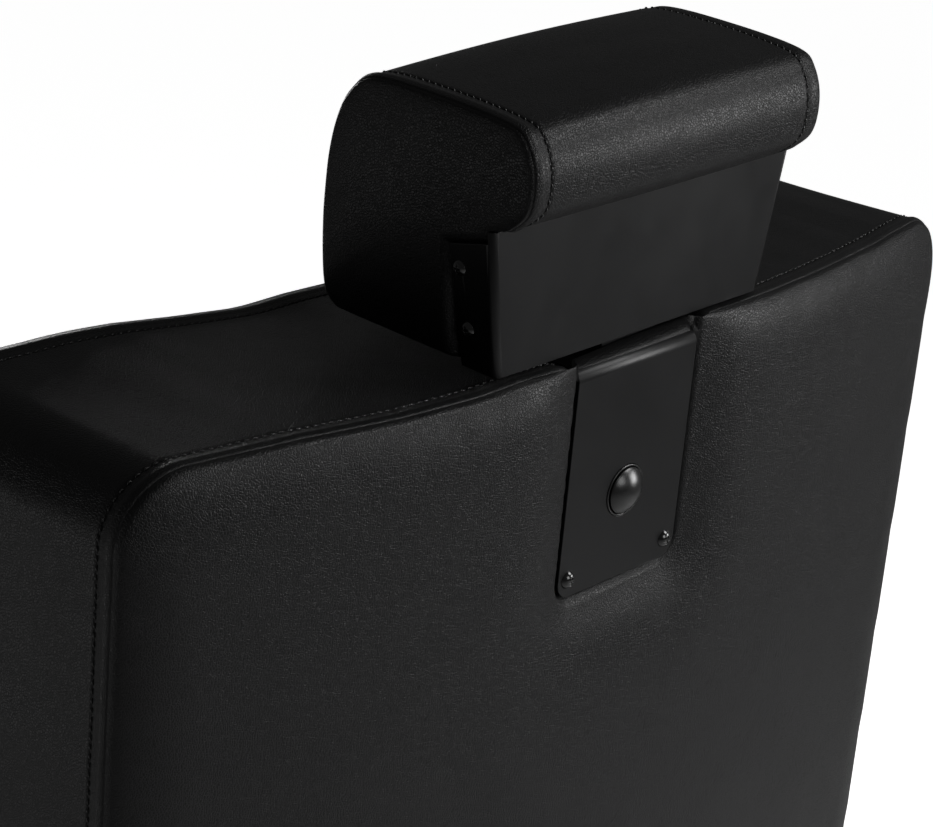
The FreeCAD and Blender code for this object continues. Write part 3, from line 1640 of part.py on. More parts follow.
def build():
    """Writes every node."""
    os.makedirs("parts", exist_ok=True)
    export("floor_pad", floor_pad())
    export("base_plate", base_plate())
    export("base_bolts", base_bolts())
    export("pump_body", pump_body())
    export("pump_cap", pump_cap())
    export("pedal_pin", pedal_pin())
    export("pedal_lever", pedal_lever())
    export("pedal_pad", pedal_pad())
    export("ram", ram())
    export("ram_bolt", ram_bolt())
    export("mount_hub", mount_hub())
    export("rail_left", rail())
    export("rail_right", mirrored(rail()))
    export("crossbar_front", crossbar(-arm_front))
    export("crossbar_rear", crossbar(arm_rear))
    export("seat_board", seat_board())
    export("seat_cushion", seat_cushion())
    export("arm_frame_left", arm_frame())
    export("arm_frame_right", mirrored(arm_frame()))
    export("arm_board_left", arm_board())
    export("arm_board_right", mirrored(arm_board()))
    export("arm_pad_left", arm_pad())
    export("arm_pad_right", mirrored(arm_pad()))
    export("frame_bolts", frame_bolts())
    export("footrest_tube", footrest_tube())
    export("footrest_grip", footrest_grip())
    export("hinge_shaft", hinge_shaft())
    export("hinge_nuts", hinge_nuts())
    export("torque_tube", torque_tube())
    export("strut_rear_pin", strut_rear_pin())
    export("strut_bracket", strut_bracket())
    export("strut_front_pin", strut_front_pin())
    export("strut_head", strut_head())
    export("valve_pin", valve_pin())
    export("strut_rod", strut_rod())
    export("strut_cylinder", strut_cylinder())
    export("lever_shaft", lever_shaft())
    export("lever_grip", lever_grip())
    export("lever_hangers", lever_hangers())
    export("back_board", leaned(back_board()))
    export("hinge_bar_left", leaned(hinge_bar()))
    export("hinge_bar_right", leaned(mirrored(hinge_bar())))
    export("board_bolts", leaned(board_bolts()))
    export("back_cushion", leaned(back_cushion()))
    export("lock_plate", leaned(lock_plate()))
    export("plate_screws", leaned(plate_screws()))
    export("guide_sleeve", leaned(guide_sleeve()))
    export("button_collar", leaned(button_collar()))
    export("release_button", leaned(release_button()))
    export("button_spring", leaned(button_spring()))
    export("headrest_post", leaned(headrest_post()))
    export("headrest_bracket", leaned(headrest_bracket()))
    export("bracket_screws", leaned(bracket_screws()))
    export("headrest_board", leaned(headrest_board()))
    export("headrest_pad", leaned(headrest_pad()))


build()
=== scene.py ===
import json
import math

import bmesh
import bpy
import numpy as np
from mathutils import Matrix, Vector


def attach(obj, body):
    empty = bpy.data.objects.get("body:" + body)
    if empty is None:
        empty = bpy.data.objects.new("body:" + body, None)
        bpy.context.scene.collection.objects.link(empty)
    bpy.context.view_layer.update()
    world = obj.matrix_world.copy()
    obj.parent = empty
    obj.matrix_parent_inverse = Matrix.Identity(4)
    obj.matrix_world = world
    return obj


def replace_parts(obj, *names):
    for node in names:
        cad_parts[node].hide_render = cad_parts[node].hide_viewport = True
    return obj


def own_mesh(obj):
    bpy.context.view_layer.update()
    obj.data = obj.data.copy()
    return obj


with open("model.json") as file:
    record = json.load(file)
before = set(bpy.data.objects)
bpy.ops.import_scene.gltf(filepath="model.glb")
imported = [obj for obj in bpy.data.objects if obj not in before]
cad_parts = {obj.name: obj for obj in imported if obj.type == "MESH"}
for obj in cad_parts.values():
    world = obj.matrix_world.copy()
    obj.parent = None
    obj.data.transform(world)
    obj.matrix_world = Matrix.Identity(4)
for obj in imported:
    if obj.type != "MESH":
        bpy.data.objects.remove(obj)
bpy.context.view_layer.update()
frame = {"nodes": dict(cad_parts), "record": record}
MM = 0.001
rng = np.random.default_rng(7)

# The back's own frame: millimetres, rear face of the lock plate at its top bend, Z up along the back
LEAN = math.radians(6.5)
BACK_ORIGIN = np.array([0.0, 461.62, 1009.81])
BUTTON_HEIGHT = -74.0


def back_place(p):
    """Points in the back's frame, in millimetres, as row frame metres."""
    c, s = math.cos(LEAN), math.sin(LEAN)
    x, y, z = p[..., 0], p[..., 1], p[..., 2]
    return np.stack([x, BACK_ORIGIN[1] + y * c + z * s, BACK_ORIGIN[2] - y * s + z * c], -1) * MM


def row_place(p):
    """Points in the row frame, in millimetres, as metres."""
    return p * MM


# Meshes
def add_mesh(name, verts, faces, body, material):
    """A smooth shaded mesh that rides on a body."""
    mesh = bpy.data.meshes.new(name)
    mesh.from_pydata([tuple(v) for v in verts], [], faces)
    work = bmesh.new()
    work.from_mesh(mesh)
    bmesh.ops.recalc_face_normals(work, faces=work.faces)
    work.to_mesh(mesh)
    work.free()
    mesh.polygons.foreach_set("use_smooth", [True] * len(mesh.polygons))
    obj = bpy.data.objects.new(name, mesh)
    bpy.context.scene.collection.objects.link(obj)
    obj.data.materials.append(material)
    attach(obj, body)
    return obj


def skin(rings):
    """Vertices and faces through closed rings of equal length, each end closed by one point."""
    n = len(rings[0])
    verts = [p for ring in rings for p in ring]
    faces = []
    for k in range(len(rings) - 1):
        a, b = k * n, (k + 1) * n
        for i in range(n):
            j = (i + 1) % n
            faces.append((a + i, a + j, b + j, b + i))
    centre = len(verts)
    last = (len(rings) - 1) * n
    verts += [np.mean(rings[0], axis=0), np.mean(rings[-1], axis=0)]
    faces += [(centre, (i + 1) % n, i) for i in range(n)]
    faces += [(centre + 1, last + i, last + (i + 1) % n) for i in range(n)]
    return np.array(verts), faces


# Upholstery: a boxed cushion is two crowned panels and the boxing between their seams
def rounded_outline(half, low, high, radius, count):
    """A rounded rectangle of evenly spaced points, from the top's middle towards -A."""
    ha, hb = half - radius, (high - low) / 2 - radius
    mid = (high + low) / 2
    parts = []
    for ca, cb, start in ((-ha, hb, 90), (-ha, -hb, 180), (ha, -hb, 270), (ha, hb, 360)):
        t = np.radians(start + np.linspace(0, 90, 40))
        parts.append(np.stack([ca + radius * np.cos(t), mid + cb + radius * np.sin(t)], -1))
    path = np.concatenate([[[0, high]], *parts, [[0, high]]])
    return resample(path, count)


def resample(path, count):
    """Evenly spaced points along a path, without its last one."""
    step = np.linalg.norm(np.diff(path, axis=0), axis=1)
    keep = np.concatenate([[True], step > 1e-9])
    path = path[keep]
    along = np.concatenate([[0], np.cumsum(np.linalg.norm(np.diff(path, axis=0), axis=1))])
    t = np.linspace(0, along[-1], count, endpoint=False)
    return np.stack([np.interp(t, along, path[:, 0]), np.interp(t, along, path[:, 1])], -1)


def outward(outline):
    """The outline's normals, pointing away from its middle."""
    ahead = np.roll(outline, -1, axis=0) - np.roll(outline, 1, axis=0)
    ahead /= np.linalg.norm(ahead, axis=1)[:, None]
    normal = np.stack([ahead[:, 1], -ahead[:, 0]], -1)
    middle = outline.mean(axis=0)
    if ((outline - middle) * normal).sum() < 0:
        normal = -normal
    return normal


# Distances from a seam, in millimetres: a ring of points lies at each step
SEAM_STEPS = [0, 0.2, 0.45, 0.7, 1.0, 1.4, 2.0, 3.0, 4.0, 5.2]
BOX_STEPS = [6.6, 7.2, 7.5, 7.8, 9.2, 10.5, 10.9, 11.2, 11.5, 11.8, 12.1, 12.5, 13.4, 15.0, 17.5, 21.0]
PANEL_START = 7.0
BOX_MIDDLE = 26.0
STITCH_REACH = 11.5
STITCH_DENT = (0.8, 0.8)
RIDGE_REACH = 4.6
RIDGE = (0.9, 2.6)
CROWN_SHARE = 0.85
# Slow wander of a cushion's surface: its period along the seam and its size, on the panels and on the boxing
PANEL_WANDER = (70.0, 0.28)
BOX_WANDER = (110.0, 0.3)
WANDER_START, WANDER_END = 4.0, 16.0


def valley(t, depth, width):
    """A rounded groove or ridge, at distance t from its middle."""
    return depth * np.exp(-(t / width) ** 2)


def roll_rise(t, roll, crown, fullness):
    """How far a crowned panel stands proud of its seam, at distance t in from the seam."""
    inner = np.clip(t / roll, 0, 1)
    return crown * CROWN_SHARE * (1 - (1 - inner) ** 2.2) ** fullness


class Cushion:
    """A boxed cushion whose outline lies in plane A, B and whose depth is D. Millimetres."""

    def __init__(self, outline, base, roll, crown, pinch=3.2, width=0.8, sunk=None, box_sink=2.0,
                 fullness=0.5, stitch=STITCH_REACH):
        self.outline = outline
        self.normal = outward(outline)
        low, high = outline.min(axis=0), outline.max(axis=0)
        self.middle = (low + high) / 2
        self.half = (high - low) / 2
        self.base = base
        self.roll = roll
        self.crown = crown
        self.pinch = pinch
        self.width = width
        self.sunk = sunk
        self.box_sink = box_sink
        self.fullness = fullness
        self.stitch = stitch
        self.phase = rng.uniform(0, 2 * math.pi, 12)
        length = np.linalg.norm(np.roll(outline, -1, axis=0) - outline, axis=1)
        self.along = np.concatenate([[0], np.cumsum(length)[:-1]])
        self.length = length.sum()

    def waver(self, s, period, size, seed):
        """A slow wander of the surface along the seam."""
        turns = max(1, round(self.length / period))
        w = 0
        for k, share in ((turns, 1.0), (turns * 2 + 1, 0.5), (turns * 3 + 2, 0.3)):
            w = w + share * np.sin(2 * math.pi * k * s / self.length + self.phase[(seed + k) % 12])
        return size * w

    def inset(self, t):
        """The outline drawn in by t on every side."""
        return self.middle + (self.outline - self.middle) * (1 - t / self.half)

    def panel_depth(self, side, q, t):
        """The depth of a panel point, side 0 or 1."""
        d = self.base[side](q[:, 0], q[:, 1])
        way = 1 if side == 0 else -1
        crown = self.crown[side]
        rise = roll_rise(t, self.roll, crown, self.fullness)
        inner = np.clip((q - self.middle) / np.maximum(self.half - self.roll * 0.5, 1), -1, 1)
        rise = rise + crown * (1 - CROWN_SHARE) * (1 - inner[:, 0] ** 2) * (1 - inner[:, 1] ** 2)
        rise = rise - valley(t, self.pinch, self.width)
        near = np.exp(-t / WANDER_END) * (1 - np.exp(-t / WANDER_START))
        rise = rise + near * self.waver(self.along, *PANEL_WANDER, 3 + side)
        return d + way * rise

    def panel(self, side, stages):
        """The rings of a panel from its seam to its middle."""
        rings = []
        for t in stages:
            q = self.inset(t)
            rings.append((q, self.panel_depth(side, q, np.full(len(q), float(t)))))
        inmost = self.inset(stages[-1])
        far = np.full(len(inmost), 1e3)
        for share in np.linspace(0, 1, 26)[1:-1]:
            q = self.middle + (inmost - self.middle) * (1 - share)
            rings.append((q, self.panel_depth(side, q, far)))
        out = []
        for q, d in rings:
            if self.sunk:
                d = self.sunk(side, q[:, 0], q[:, 1], d)
            out.append(np.stack([q[:, 0], q[:, 1], d], -1))
        return out

    def box_lift(self, v, thickness):
        """Outward offset of the boxing at depth v from the first seam."""
        share = np.clip(v / thickness, 0, 1)
        lift = -self.box_sink * np.sin(math.pi * share) ** 0.8
        for w in (v, thickness - v):
            lift = lift - valley(w, self.pinch, self.width)
            lift = lift + valley(w - RIDGE_REACH, *RIDGE) - valley(w - self.stitch, *STITCH_DENT)
        return lift

    def boxing_point(self, index, v, lift_extra=0.0):
        """Points on the boxing, at outline places index and depths v from the first seam."""
        q = self.outline[index]
        d0 = self.base[0](q[:, 0], q[:, 1])
        d1 = self.base[1](q[:, 0], q[:, 1])
        thick = np.abs(d0 - d1)
        share = v / thick
        lift = self.box_lift(v, thick) + lift_extra
        s = self.along[index]
        lift = lift + np.sin(math.pi * np.clip(share, 0, 1)) * self.waver(s, *BOX_WANDER, 1)
        p = q + self.normal[index] * lift[:, None]
        d = d0 + (d1 - d0) * share
        return np.stack([p[:, 0], p[:, 1], d], -1)

    def thickness(self):
        """The distance between both seams at every outline point."""
        a, b = self.outline[:, 0], self.outline[:, 1]
        return np.abs(self.base[0](a, b) - self.base[1](a, b))

    def rings(self, stages):
        """Rings from the middle of the first panel over the boxing to the middle of the second."""
        every = np.arange(len(self.outline))
        out = self.panel(0, stages)[::-1]
        for v in box_stages(float(self.thickness()[0])):
            ring = self.boxing_point(every, np.full(len(every), float(v)))
            if self.sunk:
                ring = self.sunk("box", ring[:, 0], ring[:, 1], ring[:, 2])
            out.append(ring)
        return out + self.panel(1, stages)


def panel_stages(reach, step):
    """Distances in from the seam at which a panel has a ring of points."""
    return SEAM_STEPS[1:] + list(np.arange(PANEL_START, reach, step))


def box_stages(thick):
    """Depths at which the boxing has a ring of points."""
    middle = list(np.linspace(BOX_MIDDLE, thick - BOX_MIDDLE, 12)) if thick > 60 else []
    near = [v for v in SEAM_STEPS + BOX_STEPS if v < thick / 2 - 1]
    return near + middle + [thick - v for v in reversed(near)]


# Thread: one short stitch after another along a line on a surface
STITCH_SECTIONS = ((-1.0, 0.45), (-0.8, 0.85), (-0.3, 1.0), (0.3, 1.0), (0.8, 0.85), (1.0, 0.45))
STITCH_SIDES = 6
STITCH_TOP, STITCH_FALL = 1.7, 2.2


def along_line(line, places, at):
    """The point at a distance along a line, whose points have the given places."""
    return np.array([np.interp(at, places, line[:, i]) for i in range(3)])


def stitches(name, points, outs, body, pitch=4.6, radius=0.5, share=0.62, place=back_place):
    """Stitches along points in millimetres, each raised a little from the surface."""
    step = np.linalg.norm(np.diff(points, axis=0), axis=1)
    along = np.concatenate([[0], np.cumsum(step)])
    count = int(along[-1] / pitch)
    half = pitch * share / 2
    verts, faces = [], []
    sides = STITCH_SIDES
    for k in range(count):
        middle = (k + 0.5) * along[-1] / count
        base = len(verts)
        row = []
        for u, r in STITCH_SECTIONS:
            at = middle + u * half
            c = along_line(points, along, at)
            o = along_line(outs, along, at)
            ahead = along_line(points, along, at + 0.5) - c
            if np.linalg.norm(ahead) < 1e-6:
                ahead = c - along_line(points, along, at - 0.5)
            ahead /= np.linalg.norm(ahead)
            o = o - ahead * (o @ ahead)
            o /= np.linalg.norm(o)
            side = np.cross(ahead, o)
            lift = radius * (STITCH_TOP - STITCH_FALL * abs(u) ** 3)
            for i in range(sides):
                a = 2 * math.pi * i / sides
                row.append(c + o * lift + (o * math.cos(a) + side * math.sin(a)) * radius * r)
        verts += row
        spans = len(STITCH_SECTIONS) - 1
        for j in range(spans):
            for i in range(sides):
                a, b = base + j * sides, base + (j + 1) * sides
                faces.append((a + i, a + (i + 1) % sides, b + (i + 1) % sides, b + i))
        faces.append(tuple(base + i for i in reversed(range(sides))))
        faces.append(tuple(base + spans * sides + i for i in range(sides)))
    return add_mesh(name, place(np.array(verts)), faces, body, THREAD)


# Materials
def new_material(name, color, roughness, metallic=0.0, specular=0.5, coat=0.0):
    """A material with its uniform values set on the shader."""
    m = bpy.data.materials.new(name)
    m.use_nodes = True
    b = m.node_tree.nodes["Principled BSDF"]
    b.inputs["Base Color"].default_value = (*color, 1)
    b.inputs["Roughness"].default_value = roughness
    b.inputs["Metallic"].default_value = metallic
    b.inputs["Specular IOR Level"].default_value = specular
    b.inputs["Coat Weight"].default_value = coat
    b.inputs["Coat Roughness"].default_value = 0.1
    return m


def node(m, kind, **inputs):
    """A new node with some of its inputs set."""
    n = m.node_tree.nodes.new(kind)
    for key, value in inputs.items():
        n.inputs[key.replace("_", " ")].default_value = value
    return n


def join(m, out_node, out_name, in_node, in_name):
    """Links an output to an input."""
    m.node_tree.links.new(out_node.outputs[out_name], in_node.inputs[in_name])


def link_value(m, source, out_name, low, high, target, in_name, from_low=0.3, from_high=0.7):
    """Maps a texture's value to a range on a shader socket."""
    scale = m.node_tree.nodes.new("ShaderNodeMapRange")
    scale.inputs["From Min"].default_value = from_low
    scale.inputs["From Max"].default_value = from_high
    scale.inputs["To Min"].default_value = low
    scale.inputs["To Max"].default_value = high
    join(m, source, out_name, scale, "Value")
    join(m, scale, "Result", target, in_name)


def tint(m, source, out_name, dark, light, target):
    """Varies the base colour between two close shades."""
    ramp = m.node_tree.nodes.new("ShaderNodeValToRGB")
    ramp.color_ramp.elements[0].position = 0.3
    ramp.color_ramp.elements[1].position = 0.7
    ramp.color_ramp.elements[0].color = (*dark, 1)
    ramp.color_ramp.elements[1].color = (*light, 1)
    join(m, source, out_name, ramp, "Fac")
    join(m, ramp, "Color", target, "Base Color")


def vinyl(name):
    """Black vinyl with an embossed pebble grain, slow ripples and hand-worn gloss."""
    m = new_material(name, (0.0044, 0.0044, 0.0046), 0.4, specular=0.17)
    b = m.node_tree.nodes["Principled BSDF"]
    place = m.node_tree.nodes.new("ShaderNodeTexCoord")
    warp = node(m, "ShaderNodeTexNoise", Scale=260.0, Detail=2.0)
    join(m, place, "Object", warp, "Vector")
    mix = m.node_tree.nodes.new("ShaderNodeVectorMath")
    mix.operation = "MULTIPLY_ADD"
    mix.inputs[1].default_value = (0.0018, 0.0018, 0.0018)
    join(m, warp, "Color", mix, 0)
    join(m, place, "Object", mix, 2)
    cells = m.node_tree.nodes.new("ShaderNodeTexVoronoi")
    cells.feature = "DISTANCE_TO_EDGE"
    cells.inputs["Scale"].default_value = 760.0
    join(m, mix, 0, cells, "Vector")
    ramp = m.node_tree.nodes.new("ShaderNodeMapRange")
    ramp.inputs["From Max"].default_value = 0.2
    ramp.interpolation_type = "SMOOTHSTEP"
    join(m, cells, "Distance", ramp, "Value")
    bump = node(m, "ShaderNodeBump", Strength=0.5, Distance=0.00028)
    join(m, ramp, "Result", bump, "Height")
    slow = node(m, "ShaderNodeTexNoise", Scale=30.0, Detail=4.0)
    join(m, place, "Object", slow, "Vector")
    bump2 = node(m, "ShaderNodeBump", Strength=0.3, Distance=0.0012)
    join(m, slow, "Fac", bump2, "Height")
    join(m, bump, "Normal", bump2, "Normal")
    join(m, bump2, "Normal", b, "Normal")
    worn = m.node_tree.nodes.new("ShaderNodeMath")
    worn.operation = "MULTIPLY_ADD"
    join(m, slow, "Fac", worn, 0)
    worn.inputs[1].default_value = 0.5
    join(m, ramp, "Result", worn, 2)
    link_value(m, worn, "Value", 0.47, 0.35, b, "Roughness", 0.2, 1.3)
    tint(m, slow, "Fac", (0.0039, 0.0039, 0.0041), (0.0049, 0.0049, 0.0051), b)
    return m


def coated(name, color, roughness, grain=900.0, relief=0.1, depth=0.0001, vary=0.06, **kind):
    """A hard finish: fine relief, uneven gloss and a slow drift of shade."""
    m = new_material(name, color, roughness, **kind)
    b = m.node_tree.nodes["Principled BSDF"]
    place = m.node_tree.nodes.new("ShaderNodeTexCoord")
    fine = node(m, "ShaderNodeTexNoise", Scale=grain, Detail=3.0)
    join(m, place, "Object", fine, "Vector")
    bump = node(m, "ShaderNodeBump", Strength=relief, Distance=depth)
    join(m, fine, "Fac", bump, "Height")
    join(m, bump, "Normal", b, "Normal")
    slow = node(m, "ShaderNodeTexNoise", Scale=16.0, Detail=6.0, Roughness=0.65)
    join(m, place, "Object", slow, "Vector")
    link_value(m, slow, "Fac", max(roughness - vary, 0.02), roughness + vary, b, "Roughness")
    tint(m, slow, "Fac", tuple(c * 0.92 for c in color), tuple(c * 1.08 for c in color), b)
    return m


def ribbed(name, color, roughness, pitch):
    """Moulded rubber with shallow ribs across X."""
    m = coated(name, color, roughness, grain=1400.0, relief=0.15, specular=0.35)
    b = m.node_tree.nodes["Principled BSDF"]
    place = m.node_tree.nodes.new("ShaderNodeTexCoord")
    wave = node(m, "ShaderNodeTexWave", Scale=0.314 / pitch)
    wave.bands_direction = "X"
    join(m, place, "Object", wave, "Vector")
    rib = node(m, "ShaderNodeBump", Strength=0.8, Distance=0.0009)
    join(m, wave, "Fac", rib, "Height")
    old = b.inputs["Normal"].links[0].from_node
    join(m, old, "Normal", rib, "Normal")
    join(m, rib, "Normal", b, "Normal")
    return m


def plywood(name):
    """Raw plywood: long grain on the faces and its plies on the edges."""
    m = new_material(name, (0.5, 0.33, 0.18), 0.62, specular=0.3)
    b = m.node_tree.nodes["Principled BSDF"]
    place = m.node_tree.nodes.new("ShaderNodeTexCoord")
    stretch = m.node_tree.nodes.new("ShaderNodeMapping")
    stretch.inputs["Scale"].default_value = (9.0, 1.2, 60.0)
    join(m, place, "Object", stretch, "Vector")
    grain = node(m, "ShaderNodeTexNoise", Scale=9.0, Detail=6.0, Roughness=0.7, Distortion=0.6)
    join(m, stretch, "Vector", grain, "Vector")
    tint(m, grain, "Fac", (0.36, 0.22, 0.11), (0.56, 0.39, 0.22), b)
    bump = node(m, "ShaderNodeBump", Strength=0.25, Distance=0.0004)
    join(m, grain, "Fac", bump, "Height")
    join(m, bump, "Normal", b, "Normal")
    link_value(m, grain, "Fac", 0.55, 0.7, b, "Roughness")
    return m


VINYL = vinyl("vinyl")
THREAD = coated("thread", (0.003, 0.003, 0.003), 0.34, grain=2600.0, relief=0.4, depth=0.0001, specular=0.4)
FINISH = {
    "vinyl": VINYL,
    "black_steel": coated("black_steel", (0.0042, 0.0042, 0.0045), 0.36, relief=0.12, depth=0.00012,
                          specular=0.2),
    "black_screw": coated("black_screw", (0.004, 0.004, 0.004), 0.13, grain=1600.0, vary=0.03, specular=0.6),
    "button_black": coated("button_black", (0.0035, 0.0035, 0.0035), 0.27, grain=60.0, vary=0.03,
                           specular=0.5),
    "rubber": ribbed("rubber", (0.014, 0.014, 0.014), 0.68, 0.005),
    "grip_plastic": coated("grip_plastic", (0.012, 0.012, 0.012), 0.5, grain=1800.0, relief=0.3,
                           depth=0.0002),
    "chrome": coated("chrome", (0.72, 0.73, 0.75), 0.07, grain=300.0, relief=0.03, vary=0.035, metallic=1.0),
    "strut_paint": coated("strut_paint", (0.008, 0.008, 0.008), 0.25, grain=500.0, coat=0.5),
    "bright_steel": coated("bright_steel", (0.55, 0.55, 0.56), 0.3, grain=700.0, relief=0.15, vary=0.1,
                           metallic=1.0),
    "plywood": plywood("plywood"),
}
CREASE = math.radians(35)


def shading_group():
    """Smooth shading wherever two faces meet at less than 35 degrees."""
    group = bpy.data.node_groups.new("soft_edges", "GeometryNodeTree")
    group.interface.new_socket("Geometry", in_out="INPUT", socket_type="NodeSocketGeometry")
    group.interface.new_socket("Geometry", in_out="OUTPUT", socket_type="NodeSocketGeometry")
    start = group.nodes.new("NodeGroupInput")
    end = group.nodes.new("NodeGroupOutput")
    angle = group.nodes.new("GeometryNodeInputMeshEdgeAngle")
    flat = group.nodes.new("FunctionNodeCompare")
    flat.data_type = "FLOAT"
    flat.operation = "LESS_THAN"
    flat.inputs[1].default_value = CREASE
    faces = group.nodes.new("GeometryNodeSetShadeSmooth")
    faces.domain = "FACE"
    edges = group.nodes.new("GeometryNodeSetShadeSmooth")
    edges.domain = "EDGE"
    group.links.new(start.outputs[0], faces.inputs["Geometry"])
    group.links.new(faces.outputs["Geometry"], edges.inputs["Geometry"])
    group.links.new(angle.outputs["Unsigned Angle"], flat.inputs[0])
    group.links.new(flat.outputs["Result"], edges.inputs["Shade Smooth"])
    group.links.new(edges.outputs["Geometry"], end.inputs[0])
    return group


SOFT_EDGES = shading_group()
BEVELLED = ("black_steel", "black_screw", "button_black", "plywood")
for part in frame["record"]["subparts"]:
    obj = frame["nodes"][part["node"]]
    slot = part["material_slot"]
    obj.data.materials.clear()
    obj.data.materials.append(FINISH[slot])
    weld = obj.modifiers.new("weld", "WELD")
    weld.merge_threshold = 0.00001
    if slot in BEVELLED:
        edge = obj.modifiers.new("edge", "BEVEL")
        edge.width = 0.0004
        edge.segments = 2
        edge.limit_method = "ANGLE"
        edge.angle_limit = CREASE
        edge.harden_normals = True
    else:
        soft = obj.modifiers.new("soft", "NODES")
        soft.node_group = SOFT_EDGES

# Back cushion
HALF = 310.0
HALF_LEFT, HALF_RIGHT = 307.0, 301.0
BACK_LOW, BACK_HIGH, BACK_CORNER = -640.0, 5.0, 35.0
BACK_BOW = 32.0
BACK_THICKNESS = 156.0
PLATE_HALF, PLATE_LOW, PLATE_FRONT = 45.0, -122.0, -47.5
PLATE_PAST = 60.0
PLATE_CORNER = 10.0
FLANGE_CORNER = 6.0
FLANGE_FLOOR = -6.0
BRACKET_CLEAR = 6.4
BRACKET_SPAN = 106.0
# Round the plate the rear panel is drawn in: its depth at the plate's sides, its reach and the plate's seat
PATCH_DEPTH = (-1.2, 0.3)
PATCH_REACH = 24.0
PLATE_SEAT, PLATE_SEAT_EDGE = 7.0, 3.0
FLANGE_REACH = 13.0
TOP_EDGE = -20.0
# The rear seam's top edge: how far it lies above the plate's top bend, by X
SEAM_TOP = np.array([
    (-310, 0.0), (-277, 0.0), (-252, 0.2), (-226, -0.6), (-202, -0.3), (-158, 0.0), (-118, 0.6),
    (-81, 1.7), (-55, 2.0), (0, 1.0), (59, -0.9), (86, -0.7), (112, -2.0), (160, -1.5), (216, 1.0),
    (247, 1.1), (277, 1.1), (310, 0.0),
])


def back_outline():
    """The rear seam's outline, with its top edge as the photograph has it."""
    q = rounded_outline(HALF, BACK_LOW, BACK_HIGH, BACK_CORNER, 940)
    top = np.clip((q[:, 1] + 40) / 40, 0, 1)
    q[:, 1] += top * np.interp(q[:, 0], SEAM_TOP[:, 0], SEAM_TOP[:, 1])
    q[:, 0] *= np.where(q[:, 0] < 0, HALF_RIGHT, HALF_LEFT) / HALF
    return q


def plan(x, z):
    """The rear seam's depth: the back is bowed towards the sitter at its sides."""
    return -BACK_BOW * (x / HALF) ** 2


def plate_distance(x, z, half, low, high, corner):
    """Distance outside a rounded rectangle, negative inside."""
    dx = np.abs(x) - (half - corner)
    mid, hb = (low + high) / 2, (high - low) / 2
    dz = np.abs(z - mid) - (hb - corner)
    out = np.hypot(np.maximum(dx, 0), np.maximum(dz, 0)) + np.minimum(np.maximum(dx, dz), 0)
    return out - corner


def soft_step(d, width):
    """1 at and inside the edge, 0 at width, falling like the edge of a stuffed panel."""
    t = np.clip(d / width, 0, 1)
    return 1 - np.sqrt(np.maximum(0, 1 - (1 - t) ** 2))


def sunk(side, x, z, d):
    """Draws the upholstery in round the lock plate. Side 0 is the rear panel and "box" the boxing."""
    if side == 0:
        gap = plate_distance(x, z, PLATE_HALF + 0.5, PLATE_LOW - 0.5, PLATE_PAST, PLATE_CORNER)
        away = np.maximum(gap, 0)
        low = np.interp(x, (-60, 60), PATCH_DEPTH)
        top = low + (d - low) * (1 - np.exp(-(away / PATCH_REACH) ** 1.5))
        return top - PLATE_SEAT * soft_step(gap, PLATE_SEAT_EDGE)
    if side == "box":
        ring = np.stack([x, z, d], -1)
        near = (z > TOP_EDGE) & (np.abs(x) < 2 * PLATE_HALF)
        gap = plate_distance(x, d, PLATE_HALF + 1.0, PLATE_FRONT, PLATE_PAST, FLANGE_CORNER)
        pull = soft_step(gap, FLANGE_REACH)
        ring[:, 1] = np.where(near, z + (np.minimum(z, FLANGE_FLOOR) - z) * pull, z)
        held = (d < -3.5) & (d > -40.0) & (np.abs(x) < BRACKET_SPAN) & (z > TOP_EDGE)
        ring[:, 1] = np.where(held, np.minimum(ring[:, 1], BRACKET_CLEAR), ring[:, 1])
        return ring
    return d


back = Cushion(
    back_outline(),
    (plan, lambda x, z: plan(x, z) - BACK_THICKNESS),
    roll=38.0, crown=(12.0, 20.0), sunk=sunk, fullness=0.65,
)


def upholster(name, cushion, stages, wrap, body, node_name):
    """A cushion's cover, shown in place of a frame's solid."""
    verts, faces = skin([wrap(ring) for ring in cushion.rings(stages)])
    cover = add_mesh(name, verts, faces, body, VINYL)
    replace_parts(cover, node_name)


# How far the front seam's top edge lies below the rear seam's, by the distance from the middle
FRONT_DROP = np.array([
    (0, -6.0), (120, -5.0), (160, -2.0), (190, -0.5), (225, -1.2), (255, -3.0), (285, -7.0), (310, -12.0),
])


def to_back(ring):
    """Places the back's points, with the top edge of its front seam where the photograph has it."""
    x, z, d = ring[:, 0], ring[:, 1], ring[:, 2]
    share = np.clip((plan(x, z) - d) / BACK_THICKNESS, 0, 1) ** 1.5
    drop = np.interp(np.abs(x), FRONT_DROP[:, 0], FRONT_DROP[:, 1]) * share * np.clip((z + 90.0) / 90.0, 0, 1)
    return back_place(np.stack([x, d, z + drop], -1))


upholster("back_upholstery", back, panel_stages(150.0, 2.6), to_back, "back", "back_cushion")


def seam_stitches(cushion, v_from_first):
    """A stitch line on the boxing, at a depth from the first seam or, if negative, from the second."""
    every = np.arange(len(cushion.outline))
    v = np.full(len(every), v_from_first) if v_from_first > 0 else cushion.thickness() + v_from_first
    ring = cushion.boxing_point(every, v)
    if cushion.sunk:
        ring = cushion.sunk("box", ring[:, 0], ring[:, 1], ring[:, 2])
    out = np.stack([cushion.normal[:, 0], cushion.normal[:, 1], np.zeros(len(every))], -1)
    ring = np.concatenate([ring, ring[:1]])
    out = np.concatenate([out, out[:1]])
    return ring, out


for label, v in (("rear", STITCH_REACH), ("front", -STITCH_REACH)):
    ring, out = seam_stitches(back, v)
    if label == "rear":
        # The plate's flange covers the line here
        keep = ~((np.abs(ring[:, 0]) < PLATE_HALF + 2) & (ring[:, 1] > -30))
        first = int(np.argmax(keep))
        last = len(keep) - 1 - int(np.argmax(keep[::-1]))
        ring, out = ring[first:last + 1], out[first:last + 1]
    stitches("back_stitching_" + label, ring, out, "back", place=to_back)

